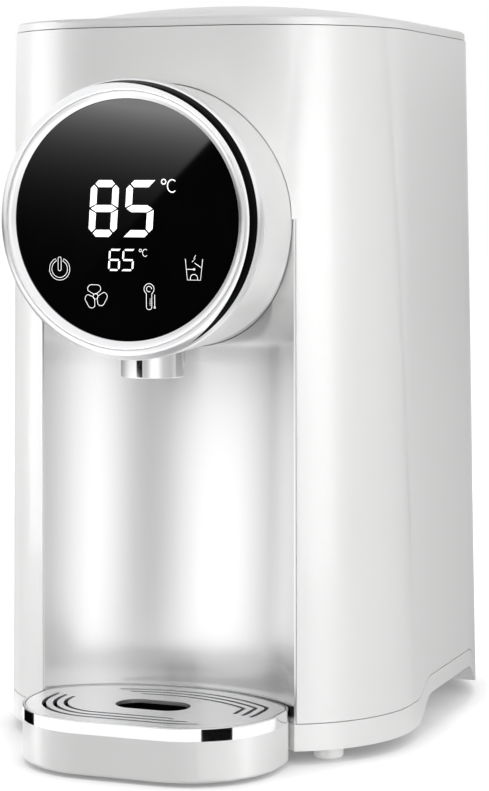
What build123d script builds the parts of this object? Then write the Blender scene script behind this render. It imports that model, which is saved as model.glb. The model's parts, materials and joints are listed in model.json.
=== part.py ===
from build123d import *
import os
from math import cos, radians, sin, sqrt

# Countertop hot water dispenser, millimetres, +Z up.
# The front faces -Y, the floor is z = 0, and the origin lies below the middle of the whole object.

# Casing and base: a flat front, straight sides and a round back, a little narrower at the top
BASE_WIDTH = 203.4
TOP_WIDTH = 194.5
BODY_DEPTH = 268.0
TOP_DEPTH = 251.0
CORNER_R = 67.0
CASING_HEIGHT = 318.5
BASE_HEIGHT = 12.5
WALL = 2.5
FLOOR = 2.5
SEAM_GAP = 0.4
FIT_GAP = 0.2
MOVE_GAP = 0.4
PIN_GAP = 0.05
LEDGE_WIDTH = 3.0
LEDGE_HEIGHT = 3.0

# Feet
FOOT_HEIGHT = 6.5
FOOT_R = 7.0
FOOT_INSET = 7.0
FOOT_EDGE = 0.8
FOOT_SPIGOT_R = 3.0

# Hand holds: arches in both sides of the base, which the seam above them follows
GRIP_BACK = 133.0
GRIP_LENGTH = 106.0
GRIP_RISE = 12.0
GRIP_DEPTH = 26.0
GRIP_RUN = 16.0
GRIP_BEND = 16.0
SEAM_RISE = 8.0

# Screws that hold the base to the casing
SCREW_R = 1.5
SCREW_HEAD_R = 3.0
SCREW_HEAD_T = 2.2
SCREW_BITE = 14.0
SCREW_BOSS_R = 4.0
SCREW_INSET = 5.8
SCREW_SEAT = 5.0
FRONT_SCREW_ANGLE = -22.0
REAR_SCREW_ANGLE = 50.0

# Display head: a drum that stands out of the front
HEAD_DROP = 87.0
HEAD_R = 62.5
DRUM_DRAFT = 1.9
HEAD_GAP = 0.4
HEAD_WALL = 2.5
HEAD_SEAT = 19.0
HEAD_BACK_T = 3.0
GLASS_R = 53.5
GLASS_T = 2.5
GLASS_REACH = 39.0
GLASS_GAP = 0.2
BEZEL_RIM = 4.6
BEZEL_FLANK = 7.8
BEZEL_LEAN = 3.9
BEZEL_BEND = 4.0
BEZEL_NOSE = 3.4
BEZEL_PROUD = 4.8
BEZEL_STEP = 0.5
BEZEL_SPIGOT = 5.0
BEZEL_LIP = 3.5
CARRIER_T = 2.0
BOARD_T = 1.6
BOARD_R = 47.5
BOARD_SETBACK = 8.0
DIGITS_WIDTH = 46.0
DIGITS_HEIGHT = 50.0
KEY_RING_R = 40.0
KEY_ANGLES = (216.0, 249.0, 291.0, 324.0)
KEY_PAD_R = 3.5
HEAD_POST_R = 3.5
HEAD_POST_RING = 52.5
HEAD_SCREW_RING = 46.0
HEAD_SCREW_ANGLES = (30.0, 150.0, 210.0, 330.0)
STANDOFF_R = 2.5
STANDOFF_RING = 43.0

# Niche: a hollow steel front below the head, with a moulded wall behind it
NICHE_DEPTH = 26.0
PANEL_T = 0.8
FRAME_T = 2.2
FRAME_ABOVE_HEAD = 6.0
FLANGE_WIDTH = 12.0

# Outlet under the head
NOZZLE_R = 15.0
NOZZLE_WALL = 1.8
NOZZLE_DROP = 9.0
NOZZLE_REACH = 10.0
NOZZLE_FLANGE = 1.5
NOZZLE_FLANGE_T = 2.0
SPOUT_DROP = 28.0
SPOUT_R = 6.0
SPOUT_BORE = 4.0
SPOUT_LIP = 2.0
SPOUT_TAIL = 9.0

# Lid
LID_RIM = 4.5
LID_INSET = 0.6
LID_WALL = 2.2
LID_EDGE = 1.4
DOME_RISE = 11.0
DOME_MARGIN = 3.0
HINGE_INSET = 24.0
HINGE_PIN_R = 1.2
BARREL_R = 2.5
BARREL_MARGIN = 6.8
KNUCKLE_LENGTH = 8.0
HINGE_CLEAR = 7.0
LINER_T = 1.5
PLUG_GAP = 4.0
PLUG_DEPTH = 12.0
PLUG_WALL = 2.0
GASKET_T = 2.8
LID_POST_R = 4.0
LID_POST_INSET = 12.0
LID_POST_ANGLES = (45.0, 135.0, 225.0, 315.0)

# Latch: a tab cut out of the lid's skin on a rocking lever
LATCH_BACK = 17.0
LATCH_WIDTH = 26.0
LATCH_TAB = 15.0
LATCH_HEIGHT = 1.6
LATCH_BOSS_R = 2.4
LATCH_PIN_R = 1.0
LATCH_ARM = 2.4
LATCH_HOOK = 9.0
LATCH_BARB = 0.6
LATCH_SLOT_FRONT = 6.0
LUG_T = 3.0
LEAF_WIDTH = 8.0
LEAF_T = 0.4
LEAF_FOOT = 3.0
LEAF_DROP = 5.0

# Deck under the lid, with the pot's mouth
DECK_T = 4.0
MOUTH_SKIRT = 11.0
MOUTH_WALL = 2.5
MOUTH_GAP = 1.5
GASKET_SEAT = 8.0
GASKET_SEAT_DEPTH = 3.0

# Pot and heater: the pot is as wide as the casing and the hose in front of it leave room for
POT_AIR = 7.4
RISER_CLEAR = 6.0
POT_WALL = 1.0
POT_BOTTOM = 78.0
SLEEVE_LIFT = 12.0
NECK_STEP = 13.0
NECK_HEIGHT = 12.0
SHOULDER_HEIGHT = 16.0
POT_FLANGE = 9.0
POT_SEAL_T = 1.5
SLEEVE_T = 5.5
SLEEVE_GAP = 0.4
POT_POST_R = 4.0
POT_POST_INSET = 18.0
POT_POST_ANGLES = (90.0, 210.0, 330.0)
HEATER_INSET = 26.0
HEATER_T = 5.8
ELEMENT_INSET = 12.0
ELEMENT_R = 3.5
ELEMENT_ARC = 300.0
ELEMENT_LEG = 9.0
CUTOUT_R = 9.0
CUTOUT_T = 7.0
PROBE_R = 3.0
PROBE_LENGTH = 10.0

# Pump under the front of the pot, its axis along Y
PUMP_X = -14.0
PUMP_Z = 38.0
PUMP_R = 22.0
PUMP_WALL = 2.5
CHAMBER_R = 18.5
CHAMBER_LENGTH = 9.5
IMPELLER_R = 16.5
IMPELLER_PLATE = 2.0
IMPELLER_BLADE = 5.0
IMPELLER_BLADES = 6
IMPELLER_HUB_R = 4.0
IMPELLER_VANE = 1.4
IMPELLER_SWEEP = 0.7
PUMP_SHAFT_R = 1.5
PUMP_CLEAR = 1.5
PUMP_STUB = 10.0
MOTOR_R = 19.0
MOTOR_LENGTH = 15.0
CRADLE_WIDTH = 26.0
CRADLE_LENGTH = 9.0
STUB_R = 6.0
STUB_BORE = 4.5
OUTLET_RISE = 34.0
HOSE_R = 8.5
HOSE_GAP = 0.1
HOSE_GRIP = 9.0
INLET_BEND = 14.0
RISER_BEND = 18.0
POT_STUB_INSET = 18.0
POT_STUB_LENGTH = 12.0

# Cooling fan on the base floor
FAN_CLEAR = 7.8
FAN_SIZE = 60.0
FAN_HEIGHT = 15.0
FAN_DUCT_R = 28.0
FAN_BLADE_GAP = 1.0
FAN_HUB_R = 11.0
FAN_BLADES = 7
FAN_BLADE_T = 1.5
FAN_BLADE_TILT = 40.0
FAN_PIN_R = 1.5
FAN_PLATE = 2.5
VENT_WIDTH = 3.0
VENT_PITCH = 7.0
VENT_LENGTH = 44.0
VENT_COUNT = 7

# Power board beside the pump, on four standoffs
POWER_BOARD_PUMP_GAP = 14.0
POWER_BOARD_GRIP_GAP = 4.5
POWER_BOARD_NICHE_GAP = 16.0
POWER_BOARD_FAN_GAP = 2.0
POWER_BOARD_DEPTH = 62.0
POWER_BOARD_LIFT = 6.0
STANDOFF_INSET = 5.0
BOARD_CORNER = 2.0
TRANSFORMER_WIDTH = 20.0
TRANSFORMER_DEPTH = 18.0
TRANSFORMER_HEIGHT = 18.0
RELAY_WIDTH = 18.0
RELAY_DEPTH = 10.0
RELAY_HEIGHT = 15.0
CAPACITOR_R = 5.0
CAPACITOR_HEIGHT = 16.0
CAPACITOR_GAP = 3.0
COMPONENT_GAP = 4.0

# Power inlet low in the back
INLET_Z = 46.0
INLET_WIDTH = 34.0
INLET_HEIGHT = 28.0
INLET_FLANGE_T = 2.5
INLET_BODY_WIDTH = 29.0
INLET_BODY_HEIGHT = 23.0
INLET_BODY_DEPTH = 22.0
INLET_RECESS = 2.4
SOCKET_WIDTH = 24.5
SOCKET_HEIGHT = 18.0
SOCKET_DEPTH = 17.0
SOCKET_BEND = 4.0
BLADE_WIDTH = 2.0
BLADE_HEIGHT = 4.0
BLADE_LENGTH = 14.0
BLADE_SPREAD = 7.0
BLADE_DROP = 0.5
EARTH_RISE = 3.5
HOLDER_T = 3.0
HOLDER_EDGE = 3.0

# Drip tray
TRAY_REACH = 53.0
TRAY_WIDTH = 124.0
TRAY_FRONT_R = 43.0
TRAY_REAR_R = 16.0
TRAY_GAP = 1.0
TRAY_BOTTOM = 2.0
TRAY_TOP = 27.0
TRAY_WALL = 2.2
TRAY_FLOOR = 2.0
TRAY_EDGE = 1.6
BAND_HEIGHT = 6.0
BAND_T = 1.2
BAND_EDGE = 0.5
GRILLE_T = 1.8
GRILLE_DROP = 0.2
GRILLE_RIM = 9.0
SLOT_WIDTH = 2.0
SLOT_PITCH = 5.0
SLOT_RINGS = 3
SLOT_BRIDGE = 26.0
SLOT_BRIDGE_ANGLE = -24.0
DRAIN_LENGTH = 36.0
DRAIN_WIDTH = 20.0
RAIL_X = 30.0
RAIL_WIDTH = 12.0
RAIL_BOTTOM = 3.0
RAIL_REACH = 46.0
RAIL_ROOT = 12.0
TUNNEL_ROOF = 1.8

# Levels and planes worked out from the sizes above
BASE_Z = FOOT_HEIGHT
FLOOR_Z = BASE_Z + FLOOR
SEAM_Z = BASE_Z + BASE_HEIGHT
TOP_Z = SEAM_Z + CASING_HEIGHT
DECK_Z = TOP_Z - DECK_T
RIM_Z = TOP_Z + LID_RIM
LID_Z = TOP_Z + SEAM_GAP
HEAD_Z = TOP_Z - HEAD_DROP
SPOUT_Z = HEAD_Z - SPOUT_DROP
FRONT = -(BODY_DEPTH - TRAY_REACH) / 2
NOZZLE_Y = FRONT - NOZZLE_REACH
PUMP_OUTLET_X = PUMP_X + CHAMBER_R - STUB_BORE
HIGH = 2 * CASING_HEIGHT


def half_width(z):
    """Half the body's width at height z."""
    rise = (z - BASE_Z) / (TOP_Z - BASE_Z)
    return (BASE_WIDTH + (TOP_WIDTH - BASE_WIDTH) * rise) / 2


def back_centre(z):
    """Y of the centre of the round back at height z."""
    rise = (z - BASE_Z) / (TOP_Z - BASE_Z)
    return FRONT + BODY_DEPTH + (TOP_DEPTH - BODY_DEPTH) * rise - half_width(z)


HINGE_Y = back_centre(TOP_Z) + half_width(TOP_Z) - HINGE_INSET
HINGE_Z = LID_Z + BARREL_R
LATCH_Y = FRONT + LATCH_BACK
LATCH_Z = TOP_Z + LATCH_HEIGHT
HINGE_CHORD = sqrt(half_width(TOP_Z) ** 2 - (half_width(TOP_Z) - HINGE_INSET) ** 2)
BARREL_HALF = HINGE_CHORD - KNUCKLE_LENGTH - BARREL_MARGIN

# The niche is a cylinder that meets the casing just outside the head
NICHE_EDGE_X = HEAD_R + HEAD_GAP
CORNER_X = half_width(HEAD_Z / 2) - CORNER_R
NICHE_EDGE_Y = FRONT + CORNER_R - sqrt(CORNER_R**2 - (NICHE_EDGE_X - CORNER_X) ** 2)
NICHE_R = (NICHE_EDGE_X**2 + NICHE_DEPTH**2) / (2 * NICHE_DEPTH)
NICHE_BACK = NICHE_EDGE_Y + NICHE_DEPTH
NICHE_Y = NICHE_BACK - NICHE_R
PUMP_FRONT = NICHE_BACK + PANEL_T + FRAME_T + PUMP_CLEAR + MOTOR_LENGTH
PUMP_Y = PUMP_FRONT + CHAMBER_LENGTH + 2 * PUMP_WALL
RISER_Y = PUMP_Y - PUMP_WALL - CHAMBER_LENGTH / 2

# The pot stands against the round back, clear of the casing and of the riser hose
POT_BACK = FRONT + min(BODY_DEPTH, TOP_DEPTH) - WALL - POT_AIR
SIDE_ROOM = min(BASE_WIDTH, TOP_WIDTH) / 2 - WALL - POT_AIR
DEPTH_ROOM = (POT_BACK - RISER_Y - HOSE_R - RISER_CLEAR) / 2
SLEEVE_R = min(SIDE_ROOM, DEPTH_ROOM)
POT_Y = POT_BACK - SLEEVE_R
POT_R = SLEEVE_R - SLEEVE_T - SLEEVE_GAP
NECK_R = POT_R - NECK_STEP
POT_FLANGE_R = NECK_R + POT_FLANGE
MOUTH_R = NECK_R - POT_WALL - MOUTH_GAP - MOUTH_WALL
LID_POST_RING = MOUTH_R - PLUG_GAP - PLUG_WALL - LID_POST_R - LID_POST_INSET
POT_POST_RING = POT_R - POT_POST_INSET
POT_STUB_Y = POT_Y - POT_R + POT_STUB_INSET
HEATER_R = POT_R - HEATER_INSET
ELEMENT_RING = HEATER_R - ELEMENT_INSET
PROBE_X = (CUTOUT_R + ELEMENT_RING - ELEMENT_R) / 2
FAN_Y = POT_Y + POT_POST_RING - POT_POST_R - FAN_CLEAR - FAN_SIZE / 2

# The power board fills the floor between the pump and the right hand hold, and stops short of the fan
BOARD_LEFT = PUMP_X + PUMP_R + POWER_BOARD_PUMP_GAP
BOARD_RIGHT = BASE_WIDTH / 2 - GRIP_DEPTH - WALL - POWER_BOARD_GRIP_GAP
POWER_BOARD_WIDTH = BOARD_RIGHT - BOARD_LEFT
POWER_BOARD_X = (BOARD_LEFT + BOARD_RIGHT) / 2
BOARD_START = NICHE_BACK + POWER_BOARD_NICHE_GAP
BOARD_ROOM = FAN_Y - FAN_SIZE / 2 - POWER_BOARD_FAN_GAP - BOARD_START
BOARD_DEPTH = min(POWER_BOARD_DEPTH, BOARD_ROOM)
POWER_BOARD_Y = BOARD_START + BOARD_DEPTH / 2

# The head's own frame: local Z points forward from the front plane, local Y up
HEAD = Plane(origin=(0, FRONT, HEAD_Z), x_dir=(1, 0, 0), z_dir=(0, -1, 0)).location
BEZEL_BACK = GLASS_REACH + BEZEL_PROUD - BEZEL_FLANK - BEZEL_RIM
GLASS_BACK = GLASS_REACH - GLASS_T
CARRIER_FRONT = GLASS_BACK - GLASS_GAP / 2
CARRIER_R = GLASS_R + BEZEL_LIP
BOARD_FRONT = CARRIER_FRONT - BOARD_SETBACK


def block(x0, x1, y0, y1, z0, z1):
    """Box between two corners."""
    return Pos((x0 + x1) / 2, (y0 + y1) / 2, (z0 + z1) / 2) * Box(x1 - x0, y1 - y0, z1 - z0)


def post(x, y, z0, z1, radius):
    """Upright cylinder."""
    return Pos(x, y, (z0 + z1) / 2) * Cylinder(radius, z1 - z0)


def rod(y0, y1, radius, x=0.0, z=0.0):
    """Cylinder along Y."""
    return Pos(x, (y0 + y1) / 2, z) * Rot(90, 0, 0) * Cylinder(radius, y1 - y0)


def bar(x0, x1, radius, y, z):
    """Cylinder along X."""
    return Pos((x0 + x1) / 2, y, z) * Rot(0, 90, 0) * Cylinder(radius, x1 - x0)


def disc(radius, low, high, x=0.0, y=0.0):
    """Cylinder along the head's axis, between two distances in front of the front plane."""
    return HEAD * post(x, y, low, high, radius)


def drum_radius(reach):
    """Radius of the head's drum, which gets smaller towards the back, at a distance in front of the front plane."""
    return HEAD_R - DRUM_DRAFT * (BEZEL_BACK - reach) / (BEZEL_BACK + HEAD_SEAT)


def drum_form(low, high, grow=0.0):
    """Body of the drum's form between two distances in front of the front plane."""
    cone = Cone(drum_radius(low) + grow, drum_radius(high) + grow, high - low)
    return HEAD * (Pos(0, 0, (low + high) / 2) * cone)


def ring_points(radius, angles):
    """Points on a circle about the origin."""
    return [(radius * cos(radians(a)), radius * sin(radians(a))) for a in angles]


def outline(z, inset=0.0):
    """Plan of the body at height z, drawn in by inset."""
    wide = half_width(z) - inset
    corner = CORNER_R - inset
    front = FRONT + inset
    flat = wide - corner
    side = front + corner
    centre = back_centre(z)
    mid = sqrt(0.5)
    right = [
        ThreePointArc((flat, front, z), (flat + corner * mid, side - corner * mid, z), (wide, side, z)),
        Line((wide, side, z), (wide, centre, z)),
        ThreePointArc((wide, centre, z), (wide * mid, centre + wide * mid, z), (0, centre + wide, z)),
    ]
    left = [
        ThreePointArc((0, centre + wide, z), (-wide * mid, centre + wide * mid, z), (-wide, centre, z)),
        Line((-wide, centre, z), (-wide, side, z)),
        ThreePointArc((-wide, side, z), (-flat - corner * mid, side - corner * mid, z), (-flat, front, z)),
    ]
    return make_face([Line((-flat, front, z), (flat, front, z))] + right + left)


def tapered(z0, z1, inset=0.0):
    """Body of the casing's plan between two heights."""
    return loft([outline(z0, inset), outline(z1, inset)], ruled=True)


def straight(z0, z1, inset):
    """Prism of the casing's top plan between two heights."""
    return extrude(Pos(0, 0, z0 - TOP_Z) * outline(TOP_Z, inset), z1 - z0)


def wave(low, rise, grow=0.0):
    """Everything under a side line at height low that climbs by rise along the hand hold."""
    middle = FRONT + GRIP_BACK
    half = GRIP_LENGTH / 2 + grow
    line = [(-BODY_DEPTH, low), (middle - half, low), (middle - half + GRIP_RUN, low + rise)]
    line += [(middle + half - GRIP_RUN, low + rise), (middle + half, low), (BODY_DEPTH, low)]
    ends = [(BODY_DEPTH, low - CASING_HEIGHT), (-BODY_DEPTH, low - CASING_HEIGHT)]
    face = make_face(Polyline(line + ends, close=True))
    bends = [v for v in face.vertices() if abs(v.X) < BODY_DEPTH - 1]
    return extrude(Plane.YZ * fillet(bends, GRIP_BEND), BASE_WIDTH, both=True)


def niche(radius, z0, z1):
    """Upright cylinder on the niche's axis."""
    return post(0, NICHE_Y, z0, z1, radius)


def tray_plan(inset=0.0):
    """Plan of the drip tray: round front corners and a back that follows the niche."""
    front = FRONT - TRAY_REACH
    sheet = Pos(0, (front + NICHE_BACK) / 2) * Rectangle(TRAY_WIDTH, NICHE_BACK - front)
    face = (sheet & (Pos(0, NICHE_Y) * Circle(NICHE_R - TRAY_GAP))).faces()[0]
    corners = face.vertices().sort_by(Axis.Y)
    face = fillet(corners[:2], TRAY_FRONT_R).faces()[0]
    corners = [v for v in face.vertices() if abs(v.X) > TRAY_WIDTH / 2 - 0.01]
    face = fillet(ShapeList(corners).sort_by(Axis.Y)[-2:], TRAY_REAR_R).faces()[0]
    return offset(face, -inset, kind=Kind.ARC) if inset else face


def tray_slab(z0, z1, inset=0.0):
    """Prism of the tray's plan."""
    return extrude(Pos(0, 0, z0) * tray_plan(inset), z1 - z0)


# A shallow dome, longer than it is wide, over the whole lid
DOME_HALF = TOP_WIDTH / 2 - LID_INSET - DOME_MARGIN
DOME_BALL = (DOME_HALF**2 + DOME_RISE**2) / (2 * DOME_RISE)
DOME_STRETCH = (TOP_DEPTH / 2 - LID_INSET - DOME_MARGIN) / DOME_HALF
DOME_Y = FRONT + TOP_DEPTH / 2


def lid_form(drop=0.0):
    """Solid below the lid's skin, or below a skin that lies deeper by drop."""
    deck = straight(LID_Z - drop, RIM_Z - drop, LID_INSET + drop)
    if drop == 0:
        deck = fillet(deck.faces().sort_by(Axis.Z)[-1].edges(), LID_EDGE)
    ball = scale(Sphere(DOME_BALL), by=(1, DOME_STRETCH, 1))
    ball = Pos(0, DOME_Y, RIM_Z + DOME_RISE - DOME_BALL - drop) * ball
    cap = straight(RIM_Z - drop - LID_EDGE, RIM_Z + 2 * DOME_RISE, LID_INSET + drop + LID_EDGE)
    return deck + (cap & ball)


LID_SOLID = lid_form()
LID_HOLLOW = lid_form(LID_WALL)
LID_SKIN = LID_SOLID - LID_HOLLOW


def screw_places():
    """Plan positions of the screws between base and casing."""
    wide = half_width(SEAM_Z)
    front = ring_points(CORNER_R - SCREW_INSET, (FRONT_SCREW_ANGLE, 180 - FRONT_SCREW_ANGLE))
    rear = ring_points(wide - SCREW_INSET, (REAR_SCREW_ANGLE, 180 - REAR_SCREW_ANGLE))
    shift = wide - CORNER_R
    places = [(x + (shift if x > 0 else -shift), y + FRONT + CORNER_R) for x, y in front]
    return places + [(x, y + back_centre(SEAM_Z)) for x, y in rear]


def foot_places():
    """Plan positions of the feet, near the front corners and on the round back."""
    wide = half_width(BASE_Z)
    edge = FOOT_INSET + FOOT_R
    shift = wide - CORNER_R
    front = ring_points(CORNER_R - edge, (-45, 225))
    places = [(x + (shift if x > 0 else -shift), y + FRONT + CORNER_R) for x, y in front]
    rear = ring_points(wide - edge, (55, 125))
    return places + [(x, y + back_centre(BASE_Z)) for x, y in rear]


def grip_pocket(grow=0.0):
    """Both hand-hold pockets, or their walls' outer form when grown."""
    reach = BASE_WIDTH / 2 - GRIP_DEPTH - grow
    core = block(-reach, reach, -BODY_DEPTH, BODY_DEPTH, -CASING_HEIGHT, HIGH)
    return wave(BASE_Z, GRIP_RISE + grow, grow) - core


def casing():
    """White side wall with the niche and head opening in front and a ledge for the deck."""
    shell = tapered(BASE_Z, TOP_Z) - tapered(BASE_Z - 1, TOP_Z + 1, WALL)
    ledge_top = DECK_Z - FIT_GAP
    ledge_low = ledge_top - LEDGE_HEIGHT
    ledge = tapered(ledge_low, ledge_top, WALL / 2)
    shell += ledge - tapered(ledge_low - 1, ledge_top + 1, WALL + LEDGE_WIDTH)
    boss_low = SEAM_Z - WALL
    for x, y in screw_places():
        shell += post(x, y, boss_low, SEAM_Z + SCREW_BITE + WALL, SCREW_BOSS_R)
    shell -= wave(SEAM_Z + SEAM_GAP, SEAM_RISE)
    for x, y in screw_places():
        shell -= post(x, y, boss_low, SEAM_Z + SCREW_BITE + FIT_GAP, SCREW_R + PIN_GAP)
    shell -= niche(NICHE_R + PANEL_T + FIT_GAP, BASE_Z - 1, HEAD_Z)
    shell -= drum_form(-HEAD_SEAT, GLASS_REACH, HEAD_GAP)
    wide = INLET_WIDTH / 2 + FIT_GAP
    high = INLET_HEIGHT / 2 + FIT_GAP
    depth = inlet_face() - INLET_BODY_DEPTH
    return shell - block(-wide, wide, depth, BODY_DEPTH, INLET_Z - high, INLET_Z + high)


def base_housing():
    """White bottom: rim, floor, hand holds, tray rails, seats for what stands on the floor."""
    rim_top = SEAM_Z + SEAM_RISE
    body = tapered(BASE_Z, rim_top) & wave(SEAM_Z, SEAM_RISE)
    hollow = tapered(FLOOR_Z, rim_top + 1, WALL) - grip_pocket(WALL) - niche(NICHE_R + WALL, 0, HIGH)
    body = body - hollow - grip_pocket() - niche(NICHE_R, 0, HIGH)
    for x, y in screw_places():
        body += post(x, y, BASE_Z, SEAM_Z, SCREW_BOSS_R)
        body -= post(x, y, BASE_Z - 1, BASE_Z + SCREW_SEAT, SCREW_HEAD_R + FIT_GAP)
        body -= post(x, y, BASE_Z - 1, SEAM_Z + 1, SCREW_R + FIT_GAP)
    for x, y in foot_places():
        body -= post(x, y, BASE_Z - 1, FLOOR_Z + 1, FOOT_SPIGOT_R)
    for x, y in ring_points(POT_POST_RING, POT_POST_ANGLES):
        body += post(x, y + POT_Y, BASE_Z, POT_BOTTOM - FIT_GAP, POT_POST_R)
    for side in (-1, 1):
        low = side * RAIL_X - RAIL_WIDTH / 2
        high = side * RAIL_X + RAIL_WIDTH / 2
        body += block(low, high, NICHE_BACK - RAIL_REACH, NICHE_BACK + RAIL_ROOT, RAIL_BOTTOM, BASE_Z)
        body += block(low, high, NICHE_BACK, NICHE_BACK + RAIL_ROOT, RAIL_BOTTOM, FLOOR_Z)
    half = CRADLE_WIDTH / 2
    motor_mid = PUMP_FRONT - MOTOR_LENGTH / 2
    cradle = block(
        PUMP_X - half, PUMP_X + half,
        motor_mid - CRADLE_LENGTH / 2, motor_mid + CRADLE_LENGTH / 2,
        BASE_Z, PUMP_Z - MOTOR_R / 2,
    )
    body += cradle - rod(-BODY_DEPTH, BODY_DEPTH, MOTOR_R + FIT_GAP, PUMP_X, PUMP_Z)
    for row in range(VENT_COUNT):
        x = (row - (VENT_COUNT - 1) / 2) * VENT_PITCH
        slot = Pos(x, FAN_Y, BASE_Z - 1) * Rot(0, 0, 90) * SlotOverall(VENT_LENGTH, VENT_WIDTH)
        body -= extrude(slot, FLOOR + 2)
    for x, y in board_corners():
        body += post(x, y, BASE_Z, FLOOR_Z + POWER_BOARD_LIFT, STANDOFF_R)
    return body + inlet_holder()


def inlet_holder():
    """Plate that stands on the floor behind the power inlet and carries it."""
    plate_y = inlet_face() - INLET_FLANGE_T
    wide = INLET_BODY_WIDTH / 2
    high = INLET_BODY_HEIGHT / 2
    edge = HOLDER_EDGE
    plate = block(-wide - edge, wide + edge, plate_y - HOLDER_T, plate_y, BASE_Z, INLET_Z + high + edge)
    plate = plate & tapered(BASE_Z, TOP_Z, WALL + FIT_GAP)
    hole_wide = wide + FIT_GAP
    hole_high = high + FIT_GAP
    return plate - block(
        -hole_wide, hole_wide, plate_y - HOLDER_T - 1, plate_y + 1, INLET_Z - hole_high, INLET_Z + hole_high
    )


def inlet_face():
    """Y of the power inlet's outer face."""
    return back_centre(INLET_Z) + half_width(INLET_Z) - INLET_RECESS


def feet():
    """Round feet with a spigot in the base floor."""
    made = []
    for x, y in foot_places():
        foot = post(x, y, 0, FOOT_HEIGHT, FOOT_R)
        foot = chamfer(foot.faces().sort_by(Axis.Z)[0].edges(), FOOT_EDGE)
        made.append(foot + post(x, y, FOOT_HEIGHT - 1, FLOOR_Z, FOOT_SPIGOT_R - PIN_GAP))
    return made


def base_screws():
    """Screws from below the base into the casing's bosses."""
    seat = BASE_Z + SCREW_SEAT
    made = []
    for x, y in screw_places():
        shaft = post(x, y, seat - SCREW_HEAD_T / 2, SEAM_Z + SCREW_BITE, SCREW_R)
        made.append(shaft + post(x, y, seat - SCREW_HEAD_T, seat, SCREW_HEAD_R))
    return made


def niche_panel():
    """Hollow steel front, cut round the head."""
    sheet = niche(NICHE_R + PANEL_T, SEAM_Z + FIT_GAP, HEAD_Z) - niche(NICHE_R, 0, HIGH)
    sheet = sheet & tapered(BASE_Z, TOP_Z, FIT_GAP)
    sheet -= drum_form(-HEAD_SEAT, GLASS_REACH, HEAD_GAP)
    sheet -= disc(drum_radius(-HEAD_SEAT) + HEAD_GAP, -NICHE_R, -HEAD_SEAT)
    return sheet.solids().sort_by(SortBy.VOLUME)[-1]


def niche_frame():
    """Moulded wall behind the steel with the head's seat and flanges along the casing."""
    face_r = NICHE_R + PANEL_T + FIT_GAP / 2
    low = SEAM_Z + SEAM_GAP
    top = HEAD_Z + HEAD_R + FRAME_ABOVE_HEAD
    room = tapered(BASE_Z, TOP_Z, WALL + FIT_GAP)
    wall = (niche(face_r + FRAME_T, low, top) - niche(face_r, 0, HIGH)) & room
    edge = NICHE_EDGE_X
    flange = room - tapered(BASE_Z - 1, TOP_Z + 1, WALL + FIT_GAP + FRAME_T)
    flange = flange & block(-edge - FLANGE_WIDTH, edge + FLANGE_WIDTH, FRONT, NICHE_BACK, low, top)
    flange = flange - block(-edge, edge, FRONT - 1, NICHE_BACK, 0, HIGH) - niche(face_r, 0, HIGH)
    wall = wall + flange - drum_form(-HEAD_SEAT, HEAD_SEAT, HEAD_GAP)
    seat_back = NICHE_BACK - FRONT + FRAME_T
    seat_r = drum_radius(-HEAD_SEAT)
    seat = disc(seat_r, -seat_back, -HEAD_SEAT)
    seat -= disc(seat_r - HEAD_BACK_T, -seat_back - 1, -HEAD_SEAT - HEAD_BACK_T)
    wall = wall + seat - disc(HOSE_R + MOVE_GAP, -NICHE_R, 0, 0, -SPOUT_DROP)
    for x, y in ring_points(HEAD_SCREW_RING, HEAD_SCREW_ANGLES):
        wall -= disc(SCREW_R + PIN_GAP, -HEAD_SEAT - HEAD_BACK_T - 1, 0, x, y)
    for x, y in screw_places():
        wall -= post(x, y, 0, SEAM_Z + SCREW_BITE + WALL + FIT_GAP, SCREW_BOSS_R + FIT_GAP)
    return wall


def top_frame():
    """Deck with the pot's mouth, the latch slot and the hinge housing behind it."""
    deck = tapered(DECK_Z, TOP_Z, WALL + FIT_GAP)
    deck += post(0, POT_Y, DECK_Z - MOUTH_SKIRT, TOP_Z, MOUTH_R + MOUTH_WALL)
    deck -= post(0, POT_Y, 0, HIGH, MOUTH_R)
    deck -= post(0, POT_Y, TOP_Z - GASKET_SEAT_DEPTH, HIGH, MOUTH_R + GASKET_SEAT)
    half = LATCH_WIDTH / 2 + LUG_T + 3 * MOVE_GAP
    rear_edge = LATCH_Y + LATCH_ARM / 2 + LATCH_BARB + MOVE_GAP
    deck -= block(-half, half, LATCH_Y - LATCH_SLOT_FRONT, rear_edge, 0, HIGH)
    house_y = HINGE_Y + BARREL_R + MOVE_GAP
    deck += LID_SOLID & block(-BASE_WIDTH, BASE_WIDTH, house_y, BODY_DEPTH, 0, HIGH)
    root = straight(TOP_Z - DECK_T / 2, LID_Z + BARREL_R / 2, WALL + FIT_GAP + LID_INSET)
    deck += root & block(-BASE_WIDTH, BASE_WIDTH, house_y, BODY_DEPTH, 0, HIGH)
    for side in (-1, 1):
        near = side * (BARREL_HALF + MOVE_GAP)
        far = side * (BARREL_HALF + MOVE_GAP + KNUCKLE_LENGTH)
        x0, x1 = min(near, far), max(near, far)
        deck += bar(x0, x1, BARREL_R, HINGE_Y, HINGE_Z)
        web = block(x0, x1, HINGE_Y - BARREL_R / 2, house_y + 1, DECK_Z, HINGE_Z)
        deck += web & straight(DECK_Z, HIGH, WALL + FIT_GAP + LID_INSET)
    return deck - bar(-BASE_WIDTH, BASE_WIDTH, HINGE_PIN_R, HINGE_Y, HINGE_Z)


def hinge_pin():
    """Steel pin through the knuckles and the lid's barrel."""
    end = BARREL_HALF + MOVE_GAP + KNUCKLE_LENGTH
    return bar(-end, end, HINGE_PIN_R, HINGE_Y, HINGE_Z)


def latch_window(grow=0.0):
    """Room of the latch tab in the lid's skin, with a back that is round about the latch's pin."""
    half = LATCH_WIDTH / 2 + grow
    back = bar(-half, half, LATCH_TAB + grow, LATCH_Y, LATCH_Z)
    return back & block(-half, half, LATCH_Y - grow, LATCH_Y + LATCH_TAB + grow, TOP_Z, HIGH)


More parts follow.
